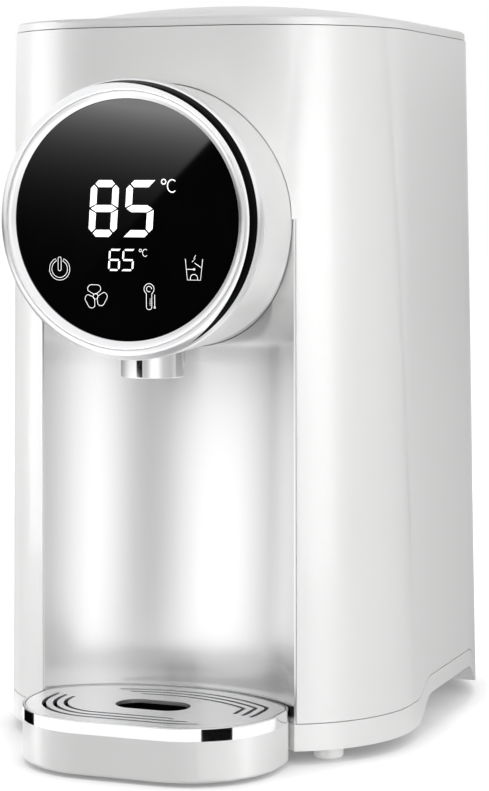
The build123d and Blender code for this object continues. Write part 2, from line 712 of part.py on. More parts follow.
def lid_cover():
    """Domed lid skin with its hinge barrel, the latch lugs and posts for the plug."""
    end = HINGE_Y - HINGE_CLEAR
    front = block(-BASE_WIDTH, BASE_WIDTH, -BODY_DEPTH, end, 0, HIGH)
    inner = block(-BASE_WIDTH, BASE_WIDTH, -BODY_DEPTH, end - LID_WALL, 0, HIGH)
    lid = (LID_SOLID & front) - (LID_HOLLOW & inner)
    web = block(-BARREL_HALF, BARREL_HALF, end - LID_WALL / 2, HINGE_Y, LID_Z, HINGE_Z + BARREL_R / 2)
    lid += LID_SOLID & web
    lid += bar(-BARREL_HALF, BARREL_HALF, BARREL_R, HINGE_Y, HINGE_Z)
    lid -= bar(-BARREL_HALF - 1, BARREL_HALF + 1, HINGE_PIN_R + PIN_GAP, HINGE_Y, HINGE_Z)
    half = LATCH_WIDTH / 2 + MOVE_GAP
    lid -= latch_window(MOVE_GAP)
    for side in (-1, 1):
        x0 = min(side * half, side * (half + LUG_T))
        lug = block(x0, x0 + LUG_T, LATCH_Y - LATCH_BOSS_R, LATCH_Y + LATCH_BOSS_R, LATCH_Z, HIGH)
        lid += (lug & LID_SOLID) + bar(x0, x0 + LUG_T, LATCH_BOSS_R, LATCH_Y, LATCH_Z)
    lid -= bar(-half - LUG_T, half + LUG_T, LATCH_PIN_R + PIN_GAP, LATCH_Y, LATCH_Z)
    for x, y in ring_points(LID_POST_RING, LID_POST_ANGLES):
        lid += post(x, y + POT_Y, plug_floor() + PLUG_WALL, HIGH, LID_POST_R) & (LID_SOLID + below_lid())
        lid -= post(x, y + POT_Y, 0, plug_floor() + PLUG_WALL + SCREW_BITE / 2, SCREW_R + PIN_GAP)
    return lid


def below_lid():
    """Room under the lid that its posts reach through."""
    return straight(plug_floor(), LID_Z, LID_INSET + LID_WALL)


def plug_floor():
    """Height of the plug's underside."""
    return LID_Z - PLUG_DEPTH


def lid_liner():
    """Flat inner plate of the lid."""
    plate = straight(LID_Z, LID_Z + LINER_T, LID_INSET + LID_WALL + FIT_GAP)
    plate -= post(0, POT_Y, 0, HIGH, MOUTH_R - PLUG_GAP + FIT_GAP)
    half = LATCH_WIDTH / 2 + LUG_T + 3 * MOVE_GAP
    plate -= block(-half, half, LATCH_Y - LATCH_SLOT_FRONT, LATCH_Y + LATCH_TAB + MOVE_GAP, 0, HIGH)
    end = HINGE_Y - HINGE_CLEAR - LID_WALL - FIT_GAP
    return plate & block(-BASE_WIDTH, BASE_WIDTH, -BODY_DEPTH, end, 0, HIGH)


def lid_plug():
    """Cup on the lid's underside that reaches into the pot's mouth."""
    radius = MOUTH_R - PLUG_GAP
    low = plug_floor()
    cup = post(0, POT_Y, low, LID_Z + LINER_T, radius)
    cup = fillet(cup.faces().sort_by(Axis.Z)[0].edges(), PLUG_WALL)
    cup -= post(0, POT_Y, low + PLUG_WALL, HIGH, radius - PLUG_WALL)
    for x, y in ring_points(LID_POST_RING, LID_POST_ANGLES):
        cup -= post(x, y + POT_Y, low - 1, low + PLUG_WALL + 1, SCREW_R + FIT_GAP)
    return cup


def lid_gasket():
    """Silicone ring between the lid and the mouth's seat."""
    outer = MOUTH_R + GASKET_SEAT - MOVE_GAP
    ring = post(0, POT_Y, LID_Z - GASKET_T, LID_Z, outer)
    return ring - post(0, POT_Y, 0, HIGH, MOUTH_R - PLUG_GAP + FIT_GAP)


def lid_screws():
    """Screws that hold the plug to the lid's posts."""
    low = plug_floor()
    tip = low + PLUG_WALL + SCREW_BITE / 2 - FIT_GAP
    made = []
    for x, y in ring_points(LID_POST_RING, LID_POST_ANGLES):
        shaft = post(x, y + POT_Y, low - SCREW_HEAD_T / 2, tip, SCREW_R)
        made.append(shaft + post(x, y + POT_Y, low - SCREW_HEAD_T, low, SCREW_HEAD_R))
    return made


def latch_lever():
    """Tab in the lid's skin with a web, a pivot boss and a hook that reaches through the deck."""
    half = LATCH_WIDTH / 2
    tab = LID_SKIN & latch_window()
    boss = bar(-half, half, LATCH_BOSS_R, LATCH_Y, LATCH_Z)
    web = block(-half, half, LATCH_Y, LATCH_Y + LATCH_BOSS_R, LATCH_Z, HIGH) & LID_SOLID
    arm = block(-half, half, LATCH_Y - LATCH_ARM / 2, LATCH_Y + LATCH_ARM / 2, LATCH_Z - LATCH_HOOK, LATCH_Z)
    barb_top = DECK_Z - MOVE_GAP
    barb_low = LATCH_Z - LATCH_HOOK
    barb_y = LATCH_Y + LATCH_ARM / 2
    edge = Polyline((barb_y, barb_low), (barb_y, barb_top), (barb_y + LATCH_BARB, barb_top), close=True)
    barb = extrude(Plane.YZ * make_face(edge), half, both=True)
    lever = tab + boss + web + arm + barb
    return lever - bar(-BASE_WIDTH, BASE_WIDTH, LATCH_PIN_R + PIN_GAP, LATCH_Y, LATCH_Z)


def latch_pin():
    """Pin of the latch lever, held by the lid's lugs."""
    end = LATCH_WIDTH / 2 + MOVE_GAP + LUG_T
    return bar(-end, end, LATCH_PIN_R, LATCH_Y, LATCH_Z)


def latch_spring():
    """Bent leaf on the liner's front strip that pushes the lever's arm back."""
    half = LEAF_WIDTH / 2
    back = LATCH_Y - LATCH_BOSS_R - MOVE_GAP
    foot = LATCH_Y - LATCH_SLOT_FRONT - LEAF_FOOT
    low = LID_Z + LINER_T
    leaf = block(-half, half, foot, back, low, low + LEAF_T)
    leaf += block(-half, half, back - LEAF_T, back, low - LEAF_DROP, low + LEAF_T)
    corner = leaf.edges().filter_by(Axis.X).group_by(Axis.Z)[-1].sort_by(Axis.Y)[-1]
    return fillet(corner, LEAF_T * 0.8)


def head_housing():
    """White drum, open to the front, with posts for the display carrier."""
    floor = HEAD_BACK_T - HEAD_SEAT
    drum = drum_form(-HEAD_SEAT, BEZEL_BACK) - drum_form(floor, BEZEL_BACK + 1, -HEAD_WALL)
    for x, y in ring_points(HEAD_POST_RING, (0, 90, 180)):
        drum += disc(HEAD_POST_R, floor - 1, CARRIER_FRONT - CARRIER_T - FIT_GAP, x, y)
    for x, y in ring_points(HEAD_SCREW_RING, HEAD_SCREW_ANGLES):
        drum -= disc(SCREW_R + FIT_GAP, -HEAD_SEAT - 1, 0, x, y)
    drum -= disc(HOSE_R + MOVE_GAP, -HEAD_SEAT - 1, 0, 0, -SPOUT_DROP)
    return drum - post(0, NOZZLE_Y, 0, HEAD_Z - HEAD_R / 2, NOZZLE_R + FIT_GAP)


def head_bezel():
    """Chrome ring with a leaning flank, a rounded nose, a lip round the glass and a spigot in the drum."""
    inner = GLASS_R + GLASS_GAP
    rim = BEZEL_BACK + BEZEL_RIM
    nose_r = HEAD_R - BEZEL_LEAN
    bore = CARRIER_R + GLASS_GAP
    spigot_end = BEZEL_BACK - BEZEL_SPIGOT
    spigot_r = drum_radius(spigot_end) - HEAD_WALL - FIT_GAP
    line = Polyline(
        (HEAD_R, BEZEL_BACK), (HEAD_R, rim), (nose_r, rim + BEZEL_FLANK), (inner, GLASS_REACH + BEZEL_STEP),
        (inner, GLASS_BACK), (bore, GLASS_BACK), (bore, spigot_end),
        (spigot_r, spigot_end), (spigot_r, BEZEL_BACK), close=True,
    )
    profile = make_face(line)
    profile = fillet(profile.vertices().sort_by(Axis.Y)[-1], BEZEL_NOSE)
    corner = profile.vertices().sort_by_distance((HEAD_R, rim))[0]
    profile = fillet(corner, BEZEL_BEND)
    notch = post(0, NOZZLE_Y, 0, HEAD_Z, NOZZLE_R + NOZZLE_FLANGE + FIT_GAP)
    notch = notch & block(-HEAD_R, HEAD_R, FRONT - BEZEL_BACK, 0, 0, HEAD_Z)
    return HEAD * revolve(Plane.XZ * profile, Axis.Z) - notch


def display_glass():
    """Round glass front."""
    return disc(GLASS_R, GLASS_BACK, GLASS_REACH)


def display_carrier():
    """Black plate behind the glass with a window for the digits, holes for the touch pads and standoffs."""
    back = CARRIER_FRONT - CARRIER_T
    plate = disc(CARRIER_R, back, CARRIER_FRONT)
    window = Box(DIGITS_WIDTH + 2 * FIT_GAP, DIGITS_HEIGHT + 2 * FIT_GAP, 4 * BOARD_SETBACK)
    plate -= HEAD * Pos(0, 0, CARRIER_FRONT) * window
    for x, y in ring_points(KEY_RING_R, KEY_ANGLES):
        plate -= disc(KEY_PAD_R + FIT_GAP, back - 1, CARRIER_FRONT + 1, x, y)
    for x, y in ring_points(STANDOFF_RING, (0, 90, 180)):
        plate += disc(STANDOFF_R, BOARD_FRONT, back + 1, x, y)
    return plate


def display_board():
    """Round circuit board behind the display."""
    return disc(BOARD_R, BOARD_FRONT - BOARD_T, BOARD_FRONT)


def digit_module():
    """Block of digit segments on the board, reaching into the carrier's window."""
    depth = BOARD_SETBACK - FIT_GAP
    body = Pos(0, 0, BOARD_FRONT + depth / 2) * Box(DIGITS_WIDTH, DIGITS_HEIGHT, depth)
    return HEAD * chamfer(body.edges().filter_by(Axis.Z), CARRIER_T / 2)


def touch_pads():
    """Conductive pads between the board and the back of the glass."""
    places = ring_points(KEY_RING_R, KEY_ANGLES)
    return [disc(KEY_PAD_R, BOARD_FRONT, GLASS_BACK, x, y) for x, y in places]


def head_screws():
    """Screws from inside the drum into its seat."""
    seat = HEAD_BACK_T - HEAD_SEAT
    tip = -HEAD_SEAT - HEAD_BACK_T
    made = []
    for x, y in ring_points(HEAD_SCREW_RING, HEAD_SCREW_ANGLES):
        made.append(disc(SCREW_R, tip, seat + 1, x, y) + disc(SCREW_HEAD_R, seat, seat + SCREW_HEAD_T, x, y))
    return made


def nozzle_end():
    """Height of the nozzle's lower edge."""
    return HEAD_Z - HEAD_R - NOZZLE_DROP


def nozzle():
    """Chrome outlet sleeve, hung on a flange inside the drum."""
    flange_r = NOZZLE_R + NOZZLE_FLANGE
    inner = drum_radius(NOZZLE_REACH - flange_r) - HEAD_WALL
    flange_z = HEAD_Z - sqrt(inner**2 - flange_r**2) + FIT_GAP
    sleeve = post(0, NOZZLE_Y, nozzle_end(), flange_z + NOZZLE_FLANGE_T, NOZZLE_R)
    sleeve = fillet(sleeve.faces().sort_by(Axis.Z)[0].edges(), NOZZLE_WALL / 3)
    sleeve += post(0, NOZZLE_Y, flange_z, flange_z + NOZZLE_FLANGE_T, flange_r)
    return sleeve - post(0, NOZZLE_Y, 0, HIGH, NOZZLE_R - NOZZLE_WALL)


def spout_elbow():
    """Rigid pipe from the riser hose forward and down into the nozzle, with a disc that fills the sleeve."""
    tail = FRONT + HEAD_SEAT + HEAD_BACK_T + SPOUT_TAIL
    low = nozzle_end() + SPOUT_LIP
    web_z = HEAD_Z - HEAD_R + HEAD_WALL
    pipe = rod(NOZZLE_Y, tail, SPOUT_R, 0, SPOUT_Z) + post(0, NOZZLE_Y, low, SPOUT_Z, SPOUT_R)
    pipe += Pos(0, NOZZLE_Y, SPOUT_Z) * Sphere(SPOUT_R)
    pipe += post(0, NOZZLE_Y, web_z - NOZZLE_FLANGE_T, web_z, NOZZLE_R - NOZZLE_WALL - FIT_GAP)
    return pipe - rod(NOZZLE_Y, tail + 1, SPOUT_BORE, 0, SPOUT_Z) - post(0, NOZZLE_Y, 0, SPOUT_Z, SPOUT_BORE)


def pot_levels():
    """Heights of the pot's wall top, of the neck's lower end and of the flange."""
    flange_z = DECK_Z - POT_SEAL_T
    neck_low = flange_z - NECK_HEIGHT
    return neck_low - SHOULDER_HEIGHT, neck_low, flange_z


def inner_pot():
    """Rolled stainless wall of the pot, which stands on the pot's floor and carries its neck."""
    wall_top = pot_levels()[0]
    low = POT_BOTTOM + POT_WALL
    return post(0, POT_Y, low, wall_top, POT_R) - post(0, POT_Y, 0, HIGH, POT_R - POT_WALL)


def pot_floor():
    """Flat stainless floor of the pot with the outlet stub."""
    low = POT_BOTTOM - POT_STUB_LENGTH
    top = POT_BOTTOM + POT_WALL
    floor = post(0, POT_Y, POT_BOTTOM, top, POT_R) + post(PUMP_X, POT_STUB_Y, low, top, STUB_R)
    return floor - post(PUMP_X, POT_STUB_Y, low - 1, top + 1, STUB_BORE)


def pot_neck():
    """Shoulder, neck and flange of the pot."""
    wall_top, neck_low, flange_z = pot_levels()
    profile = Polyline(
        (POT_R, wall_top), (NECK_R, neck_low), (NECK_R, flange_z - POT_WALL),
        (POT_FLANGE_R, flange_z - POT_WALL), (POT_FLANGE_R, flange_z), (NECK_R - POT_WALL, flange_z),
        (NECK_R - POT_WALL, neck_low), (POT_R - POT_WALL, wall_top), close=True,
    )
    return Pos(0, POT_Y, 0) * revolve(Plane.XZ * make_face(profile), Axis.Z)


def pot_seal():
    """Flat ring between the pot's flange and the deck."""
    ring = post(0, POT_Y, DECK_Z - POT_SEAL_T, DECK_Z, POT_FLANGE_R - POT_WALL)
    return ring - post(0, POT_Y, 0, HIGH, NECK_R + POT_WALL)


def insulation_sleeve():
    """Sleeve of heat insulation round the pot's wall."""
    top = pot_levels()[0]
    inner = POT_R + SLEEVE_GAP
    ring = post(0, POT_Y, POT_BOTTOM + SLEEVE_LIFT, top, SLEEVE_R)
    return ring - post(0, POT_Y, 0, HIGH, inner)


def heater_low():
    """Height of the heater plate's underside."""
    return POT_BOTTOM - FIT_GAP - HEATER_T


def heater_plate():
    """Cast heat spreader under the pot."""
    plate = post(0, POT_Y, heater_low(), POT_BOTTOM - FIT_GAP, HEATER_R)
    return chamfer(plate.faces().sort_by(Axis.Z)[0].edges(), HEATER_T / 4)


def heating_element():
    """Tubular heating ring, open at the back, with two legs for the wires."""
    z = heater_low() - ELEMENT_R - FIT_GAP / 2
    tube = revolve(Plane.XZ * Pos(ELEMENT_RING, z) * Circle(ELEMENT_R), Axis.Z, ELEMENT_ARC)
    first = 90 + (360 - ELEMENT_ARC) / 2
    tube = Pos(0, POT_Y, 0) * Rot(0, 0, first) * tube
    for x, y in ring_points(ELEMENT_RING, (first, first + ELEMENT_ARC)):
        tube += post(x, y + POT_Y, z - ELEMENT_R - ELEMENT_LEG, z, ELEMENT_R / 2)
    return tube


def thermal_cutout():
    """Round cut-out switch under the middle of the heater, with two tabs."""
    top = heater_low() - FIT_GAP / 2
    body = post(0, POT_Y, top - CUTOUT_T, top, CUTOUT_R)
    for side in (-1, 1):
        x = side * CUTOUT_R / 2
        body += block(x - 0.4, x + 0.4, POT_Y - 2.4, POT_Y + 2.4, top - 2 * CUTOUT_T, top - CUTOUT_T / 2)
    return body


def temperature_probe():
    """Temperature probe pressed against the heater's underside."""
    top = heater_low() - FIT_GAP / 2
    body = post(PROBE_X, POT_Y, top - PROBE_LENGTH, top, PROBE_R)
    return fillet(body.faces().sort_by(Axis.Z)[0].edges(), PROBE_R / 2)


def pump_housing():
    """Pump chamber with an axial inlet towards the pot and a tangential outlet upwards."""
    body = rod(PUMP_FRONT, PUMP_Y, PUMP_R, PUMP_X, PUMP_Z)
    body += rod(PUMP_Y - 1, PUMP_Y + PUMP_STUB, STUB_R, PUMP_X, PUMP_Z)
    body += post(PUMP_OUTLET_X, RISER_Y, PUMP_Z, PUMP_Z + OUTLET_RISE, STUB_R)
    body -= rod(PUMP_FRONT + PUMP_WALL, PUMP_Y - PUMP_WALL, CHAMBER_R, PUMP_X, PUMP_Z)
    body -= rod(PUMP_Y - PUMP_WALL - 1, PUMP_Y + PUMP_STUB + 1, STUB_BORE, PUMP_X, PUMP_Z)
    body -= post(PUMP_OUTLET_X, RISER_Y, PUMP_Z, PUMP_Z + OUTLET_RISE + 1, STUB_BORE)
    return body - rod(PUMP_FRONT - 1, PUMP_Y - PUMP_WALL, PUMP_SHAFT_R + FIT_GAP, PUMP_X, PUMP_Z)


def pump_impeller():
    """Impeller disc with curved blades on the motor shaft."""
    hub_top = IMPELLER_PLATE + IMPELLER_BLADE / 2
    wheel = post(0, 0, 0, IMPELLER_PLATE, IMPELLER_R) + post(0, 0, 0, hub_top, IMPELLER_HUB_R)
    half = IMPELLER_VANE / 2
    bend = IMPELLER_R * IMPELLER_SWEEP
    arc = Pos(bend, 0) * (Circle(bend + half) - Circle(bend - half))
    reach = Circle(IMPELLER_R - half) - Circle(IMPELLER_HUB_R - half)
    vane = arc & reach & (Pos(0, IMPELLER_R) * Rectangle(4 * IMPELLER_R, 2 * IMPELLER_R))
    vane = extrude(Pos(0, 0, IMPELLER_PLATE - half) * vane, IMPELLER_BLADE + half)
    for n in range(IMPELLER_BLADES):
        wheel += Rot(0, 0, n * 360 / IMPELLER_BLADES) * vane
    wheel -= post(0, 0, -1, hub_top + 1, PUMP_SHAFT_R + PIN_GAP)
    return Pos(PUMP_X, PUMP_FRONT + PUMP_WALL + MOVE_GAP, PUMP_Z) * Rot(-90, 0, 0) * wheel


def pump_motor():
    """Flat motor on the front of the pump, with its shaft."""
    rear = PUMP_FRONT - FIT_GAP / 2
    body = rod(rear - MOTOR_LENGTH, rear, MOTOR_R, PUMP_X, PUMP_Z)
    body = fillet(body.faces().sort_by(Axis.Y)[0].edges(), PUMP_WALL)
    tip = PUMP_FRONT + PUMP_WALL + MOVE_GAP + IMPELLER_PLATE + IMPELLER_BLADE / 2
    return body + rod(rear - 1, tip, PUMP_SHAFT_R, PUMP_X, PUMP_Z)


def bent_hose(start, corner, end, bend):
    """Hose from start to end, with one bend at the corner."""
    path = FilletPolyline(start, corner, end, radius=bend)
    start_plane = path ^ 0
    bore = sweep(start_plane * Circle(STUB_R + HOSE_GAP), path=path)
    return sweep(start_plane * Circle(HOSE_R), path=path) - bore


def inlet_hose():
    """Hose from the pot's stub down and forward to the pump's inlet."""
    top = (PUMP_X, POT_STUB_Y, POT_BOTTOM - POT_STUB_LENGTH + HOSE_GRIP)
    end = (PUMP_X, PUMP_Y + PUMP_STUB - HOSE_GRIP, PUMP_Z)
    return bent_hose(top, (PUMP_X, POT_STUB_Y, PUMP_Z), end, INLET_BEND)


def riser_hose():
    """Hose from the pump's outlet up behind the niche and forward to the spout."""
    low = (PUMP_OUTLET_X, RISER_Y, PUMP_Z + OUTLET_RISE - HOSE_GRIP)
    tail = FRONT + HEAD_SEAT + HEAD_BACK_T + SPOUT_TAIL
    return bent_hose(low, (0, RISER_Y, SPOUT_Z), (0, tail - HOSE_GRIP, SPOUT_Z), RISER_BEND)


def board_corners():
    """Plan positions of the power board's standoffs."""
    dx = POWER_BOARD_WIDTH / 2 - STANDOFF_INSET
    dy = BOARD_DEPTH / 2 - STANDOFF_INSET
    return [(POWER_BOARD_X + sx * dx, POWER_BOARD_Y + sy * dy) for sx in (-1, 1) for sy in (-1, 1)]


def power_board():
    """Power circuit board on its standoffs."""
    low = FLOOR_Z + POWER_BOARD_LIFT
    sheet = RectangleRounded(POWER_BOARD_WIDTH, BOARD_DEPTH, BOARD_CORNER)
    return extrude(Pos(POWER_BOARD_X, POWER_BOARD_Y, low) * sheet, BOARD_T)


def board_components():
    """Transformer, relay and capacitors in a row on the power board."""
    low = FLOOR_Z + POWER_BOARD_LIFT + BOARD_T
    x = POWER_BOARD_X
    y = POWER_BOARD_Y - TRANSFORMER_DEPTH / 2
    half = TRANSFORMER_WIDTH / 2
    transformer = block(x - half, x + half, y, y + TRANSFORMER_DEPTH, low, low + TRANSFORMER_HEIGHT)
    y += TRANSFORMER_DEPTH + COMPONENT_GAP
    half = RELAY_WIDTH / 2
    relay = block(x - half, x + half, y, y + RELAY_DEPTH, low, low + RELAY_HEIGHT)
    y = POWER_BOARD_Y - TRANSFORMER_DEPTH / 2 - COMPONENT_GAP - CAPACITOR_R
    step = CAPACITOR_R + CAPACITOR_GAP / 2
    capacitors = [post(x + dx, y, low, low + CAPACITOR_HEIGHT, CAPACITOR_R) for dx in (-step, step)]
    return [transformer, relay] + capacitors


def fan_frame():
    """Square fan frame with its duct, three arms and the rotor's pin."""
    body = Pos(0, FAN_Y, FLOOR_Z) * RectangleRounded(FAN_SIZE, FAN_SIZE, 4)
    frame = extrude(body, FAN_HEIGHT) - post(0, FAN_Y, 0, HIGH, FAN_DUCT_R)
    frame += post(0, FAN_Y, FLOOR_Z, FLOOR_Z + FAN_PLATE, FAN_HUB_R)
    for n in range(3):
        arm = block(0, FAN_DUCT_R + 1, -FAN_PLATE, FAN_PLATE, FLOOR_Z, FLOOR_Z + FAN_PLATE)
        frame += Pos(0, FAN_Y, 0) * Rot(0, 0, 90 + 120 * n) * arm
    return frame + post(0, FAN_Y, FLOOR_Z, FLOOR_Z + FAN_HEIGHT - FAN_PLATE, FAN_PIN_R)


def fan_rotor():
    """Fan rotor with tilted blades, on the frame's pin."""
    low = FLOOR_Z + FAN_PLATE + MOVE_GAP
    top = FLOOR_Z + FAN_HEIGHT - MOVE_GAP
    rotor = post(0, 0, low, top, FAN_HUB_R)
    tip = FAN_DUCT_R - FAN_BLADE_GAP
    blade = Box(tip - FAN_HUB_R + 2, FAN_BLADE_T, 1.6 * (top - low))
    blade = Pos((tip + FAN_HUB_R) / 2 - 1, 0, (low + top) / 2) * Rot(FAN_BLADE_TILT, 0, 0) * blade
    blade = blade & (post(0, 0, low + MOVE_GAP, top - MOVE_GAP, tip) - post(0, 0, low, top, FAN_HUB_R - 1))
    for n in range(FAN_BLADES):
        rotor += Rot(0, 0, n * 360 / FAN_BLADES) * blade
    bore_top = FLOOR_Z + FAN_HEIGHT - FAN_PLATE + MOVE_GAP
    rotor -= post(0, 0, low - 1, bore_top, FAN_PIN_R + PIN_GAP)
    return Pos(0, FAN_Y, 0) * rotor


def power_inlet():
    """Mains inlet: flange in the casing's window, body in the holder, open socket."""
    face = inlet_face()
    wide = INLET_WIDTH / 2
    high = INLET_HEIGHT / 2
    flange = block(-wide, wide, face - INLET_FLANGE_T, face, INLET_Z - high, INLET_Z + high)
    wide = INLET_BODY_WIDTH / 2
    high = INLET_BODY_HEIGHT / 2
    body = block(-wide, wide, face - INLET_BODY_DEPTH, face, INLET_Z - high, INLET_Z + high)
    mouth = Rot(90, 0, 0) * RectangleRounded(SOCKET_WIDTH, SOCKET_HEIGHT, SOCKET_BEND)
    cavity = extrude(Pos(0, face + 1, INLET_Z) * mouth, SOCKET_DEPTH + 1)
    inlet = flange + body - cavity
    for x, z, wide, high in blade_places():
        inlet -= block(x - wide, x + wide, face - INLET_BODY_DEPTH - 1, face, z - high, z + high)
    return inlet


def blade_places():
    """Centre and half sizes of the three contact blades."""
    low = INLET_Z - BLADE_DROP
    half = (BLADE_WIDTH / 2, BLADE_HEIGHT / 2)
    return [(-BLADE_SPREAD, low, *half), (BLADE_SPREAD, low, *half), (0, INLET_Z + EARTH_RISE, *half)]


def inlet_pins():
    """Three contact blades in the inlet."""
    face = inlet_face()
    tip = face - SOCKET_DEPTH + BLADE_LENGTH
    tail = face - INLET_BODY_DEPTH - SCREW_BITE / 2
    return [block(x - w, x + w, tail, tip, z - h, z + h) for x, z, w, h in blade_places()]


def tray_body():
    """White drip tray with an upstand for the band and grille, and tunnels over the base's rails."""
    shoulder = TRAY_TOP - BAND_HEIGHT
    seat = TRAY_TOP - GRILLE_DROP - GRILLE_T - FIT_GAP
    body = tray_slab(TRAY_BOTTOM, shoulder)
    body = fillet(body.faces().sort_by(Axis.Z)[0].edges(), TRAY_EDGE)
    body += tray_slab(shoulder - 1, seat, BAND_T + FIT_GAP)
    hollow = tray_slab(TRAY_BOTTOM + TRAY_FLOOR, TRAY_TOP, BAND_T + FIT_GAP + TRAY_WALL)
    roof = BASE_Z + MOVE_GAP
    front = NICHE_BACK - RAIL_REACH - MOVE_GAP
    tunnels = []
    for side in (-1, 1):
        x0 = side * RAIL_X - RAIL_WIDTH / 2 - MOVE_GAP
        x1 = side * RAIL_X + RAIL_WIDTH / 2 + MOVE_GAP
        cover = TUNNEL_ROOF
        hollow -= block(x0 - cover, x1 + cover, front - cover, NICHE_BACK, 0, roof + cover)
        tunnels.append(block(x0, x1, front, NICHE_BACK + 1, 0, roof))
    body = body - hollow
    for tunnel in tunnels:
        body -= tunnel
    return body


def tray_band():
    """Chrome band round the tray's upper edge."""
    band = tray_slab(TRAY_TOP - BAND_HEIGHT, TRAY_TOP)
    band = fillet(band.faces().sort_by(Axis.Z)[-1].edges(), BAND_EDGE)
    return band - tray_slab(TRAY_TOP - BAND_HEIGHT - 1, TRAY_TOP + 1, BAND_T)


def slot_ring(inset):
    """One ring of slots in the grille's plan, broken by two bridges."""
    ring = tray_plan(inset) - tray_plan(inset + SLOT_WIDTH)
    middle = (FRONT - TRAY_REACH + NICHE_BACK) / 2
    bridge = Rot(0, 0, SLOT_BRIDGE_ANGLE) * Rectangle(2 * TRAY_WIDTH, SLOT_BRIDGE)
    return ring - Pos(0, middle) * bridge


def tray_grille():
    """Slotted plate with an oval opening in the middle."""
    top = TRAY_TOP - GRILLE_DROP
    plate = tray_plan(BAND_T + MOVE_GAP)
    for n in range(SLOT_RINGS):
        plate -= slot_ring(GRILLE_RIM + n * SLOT_PITCH)
    middle = (FRONT - TRAY_REACH + NICHE_BACK) / 2
    plate -= Pos(0, middle) * SlotOverall(DRAIN_LENGTH, DRAIN_WIDTH)
    return extrude(Pos(0, 0, top - GRILLE_T) * plate, GRILLE_T)


PIECES = [
    casing, base_housing, feet, base_screws,
    niche_panel, niche_frame, top_frame, hinge_pin,
    lid_cover, lid_liner, lid_plug, lid_gasket, lid_screws,
    latch_lever, latch_pin, latch_spring,
    head_housing, head_bezel, display_glass, display_carrier, display_board,
    digit_module, touch_pads, head_screws, nozzle, spout_elbow,
    inner_pot, pot_floor, pot_neck, pot_seal, insulation_sleeve, heater_plate, heating_element,
    thermal_cutout, temperature_probe,
    pump_housing, pump_impeller, pump_motor, inlet_hose, riser_hose,
    power_board, board_components, fan_frame, fan_rotor,
    power_inlet, inlet_pins,
    tray_body, tray_band, tray_grille,
]

os.makedirs("parts", exist_ok=True)
for piece in PIECES:
    made = piece()
    solids = ShapeList(made).solids() if isinstance(made, list) else made.solids()
    export_step(Compound(solids), f"parts/{piece.__name__}.step")
    print(piece.__name__, len(solids), "solids", round(sum(s.volume for s in solids)), "mm3")
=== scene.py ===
# %% [markdown]
# # Dressing a countertop hot water dispenser
# The solids of the dispenser already exist, at their real size and place. This lesson gives them their
# finishes, prints the lit marks on the display, and sets up a small photo studio around them. Every step
# says what the real surface is, how it could be made, and why this way was chosen.

# %% Load the solids
import json
import math

import bmesh
import bpy
from mathutils import Matrix, Vector


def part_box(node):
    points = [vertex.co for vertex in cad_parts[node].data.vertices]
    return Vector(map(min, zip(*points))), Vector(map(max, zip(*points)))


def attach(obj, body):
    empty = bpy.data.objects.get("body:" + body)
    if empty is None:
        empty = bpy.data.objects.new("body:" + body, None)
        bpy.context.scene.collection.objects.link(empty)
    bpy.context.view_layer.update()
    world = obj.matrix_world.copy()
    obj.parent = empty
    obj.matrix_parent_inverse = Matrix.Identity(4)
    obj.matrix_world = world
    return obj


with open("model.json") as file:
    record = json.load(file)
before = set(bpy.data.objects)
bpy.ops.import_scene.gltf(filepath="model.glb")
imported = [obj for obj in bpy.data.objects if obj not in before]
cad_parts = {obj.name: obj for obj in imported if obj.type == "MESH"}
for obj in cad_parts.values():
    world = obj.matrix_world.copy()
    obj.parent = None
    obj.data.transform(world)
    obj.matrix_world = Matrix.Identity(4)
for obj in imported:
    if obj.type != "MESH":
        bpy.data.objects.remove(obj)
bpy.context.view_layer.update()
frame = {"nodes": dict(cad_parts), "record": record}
MM = 0.001

# %% [markdown]
# ## The camera
# The camera stands to the right of the front, a little above the middle, and looks slightly down. A long
# lens from more than a metre away keeps the upright edges nearly parallel, as a product photographer does.
# Angles and distances are easier to read than a matrix, so the place is worked out from them.

# %% Set the camera
CAMERA_TURN = math.radians(20.72)
CAMERA_TILT = math.radians(5.23)
CAMERA_DISTANCE = 1.20844
CAMERA_SIDE = 0.0076
CAMERA_HEIGHT = 0.27246
CAMERA_BACK = 0.01965
PHOTO_HEIGHT = 791
FOCAL_PIXELS = 2457.5
SENSOR = 36.0


def add_camera():
    """Make the camera at the photograph's viewing angle."""
    lens = bpy.data.cameras.new("camera")
    lens.sensor_width = SENSOR
    lens.lens = FOCAL_PIXELS * SENSOR / PHOTO_HEIGHT
    camera = bpy.data.objects.new("camera", lens)
    bpy.context.collection.objects.link(camera)
    sine = math.sin(CAMERA_TURN)
    cosine = math.cos(CAMERA_TURN)
    camera.location = (
        CAMERA_DISTANCE * sine + CAMERA_SIDE * cosine,
        CAMERA_SIDE * sine - CAMERA_DISTANCE * cosine - CAMERA_BACK,
        CAMERA_HEIGHT,
    )
    level = math.cos(CAMERA_TILT)
    look = Vector((-sine * level, cosine * level, -math.sin(CAMERA_TILT)))
    camera.rotation_euler = look.to_track_quat("-Z", "Y").to_euler()
    bpy.context.scene.camera = camera
    return camera


camera = add_camera()
bpy.context.scene.view_settings.view_transform = "Standard"
print("camera at", [round(v, 3) for v in camera.location], "lens", round(camera.data.lens, 1))

# %% [markdown]
# ## Writing shaders as sums
# A finish is a network of nodes. Drawing it by hand in code is long, so one small class wraps a node's
# output and lets it be added and multiplied like a number. Each sum adds a Math node. Every other node
# comes from the method `node`, which takes its type, its settings and what goes into its sockets.


# %% A socket that can be used in sums
def set_stops(elements, tones):
    """Give a colour ramp grey stops from pairs of place and tone."""
    while len(elements) < len(tones):
        elements.new(1.0)
    for stop, (place, tone) in zip(elements, tones):
        stop.position = place
        stop.color = (tone, tone, tone, 1)


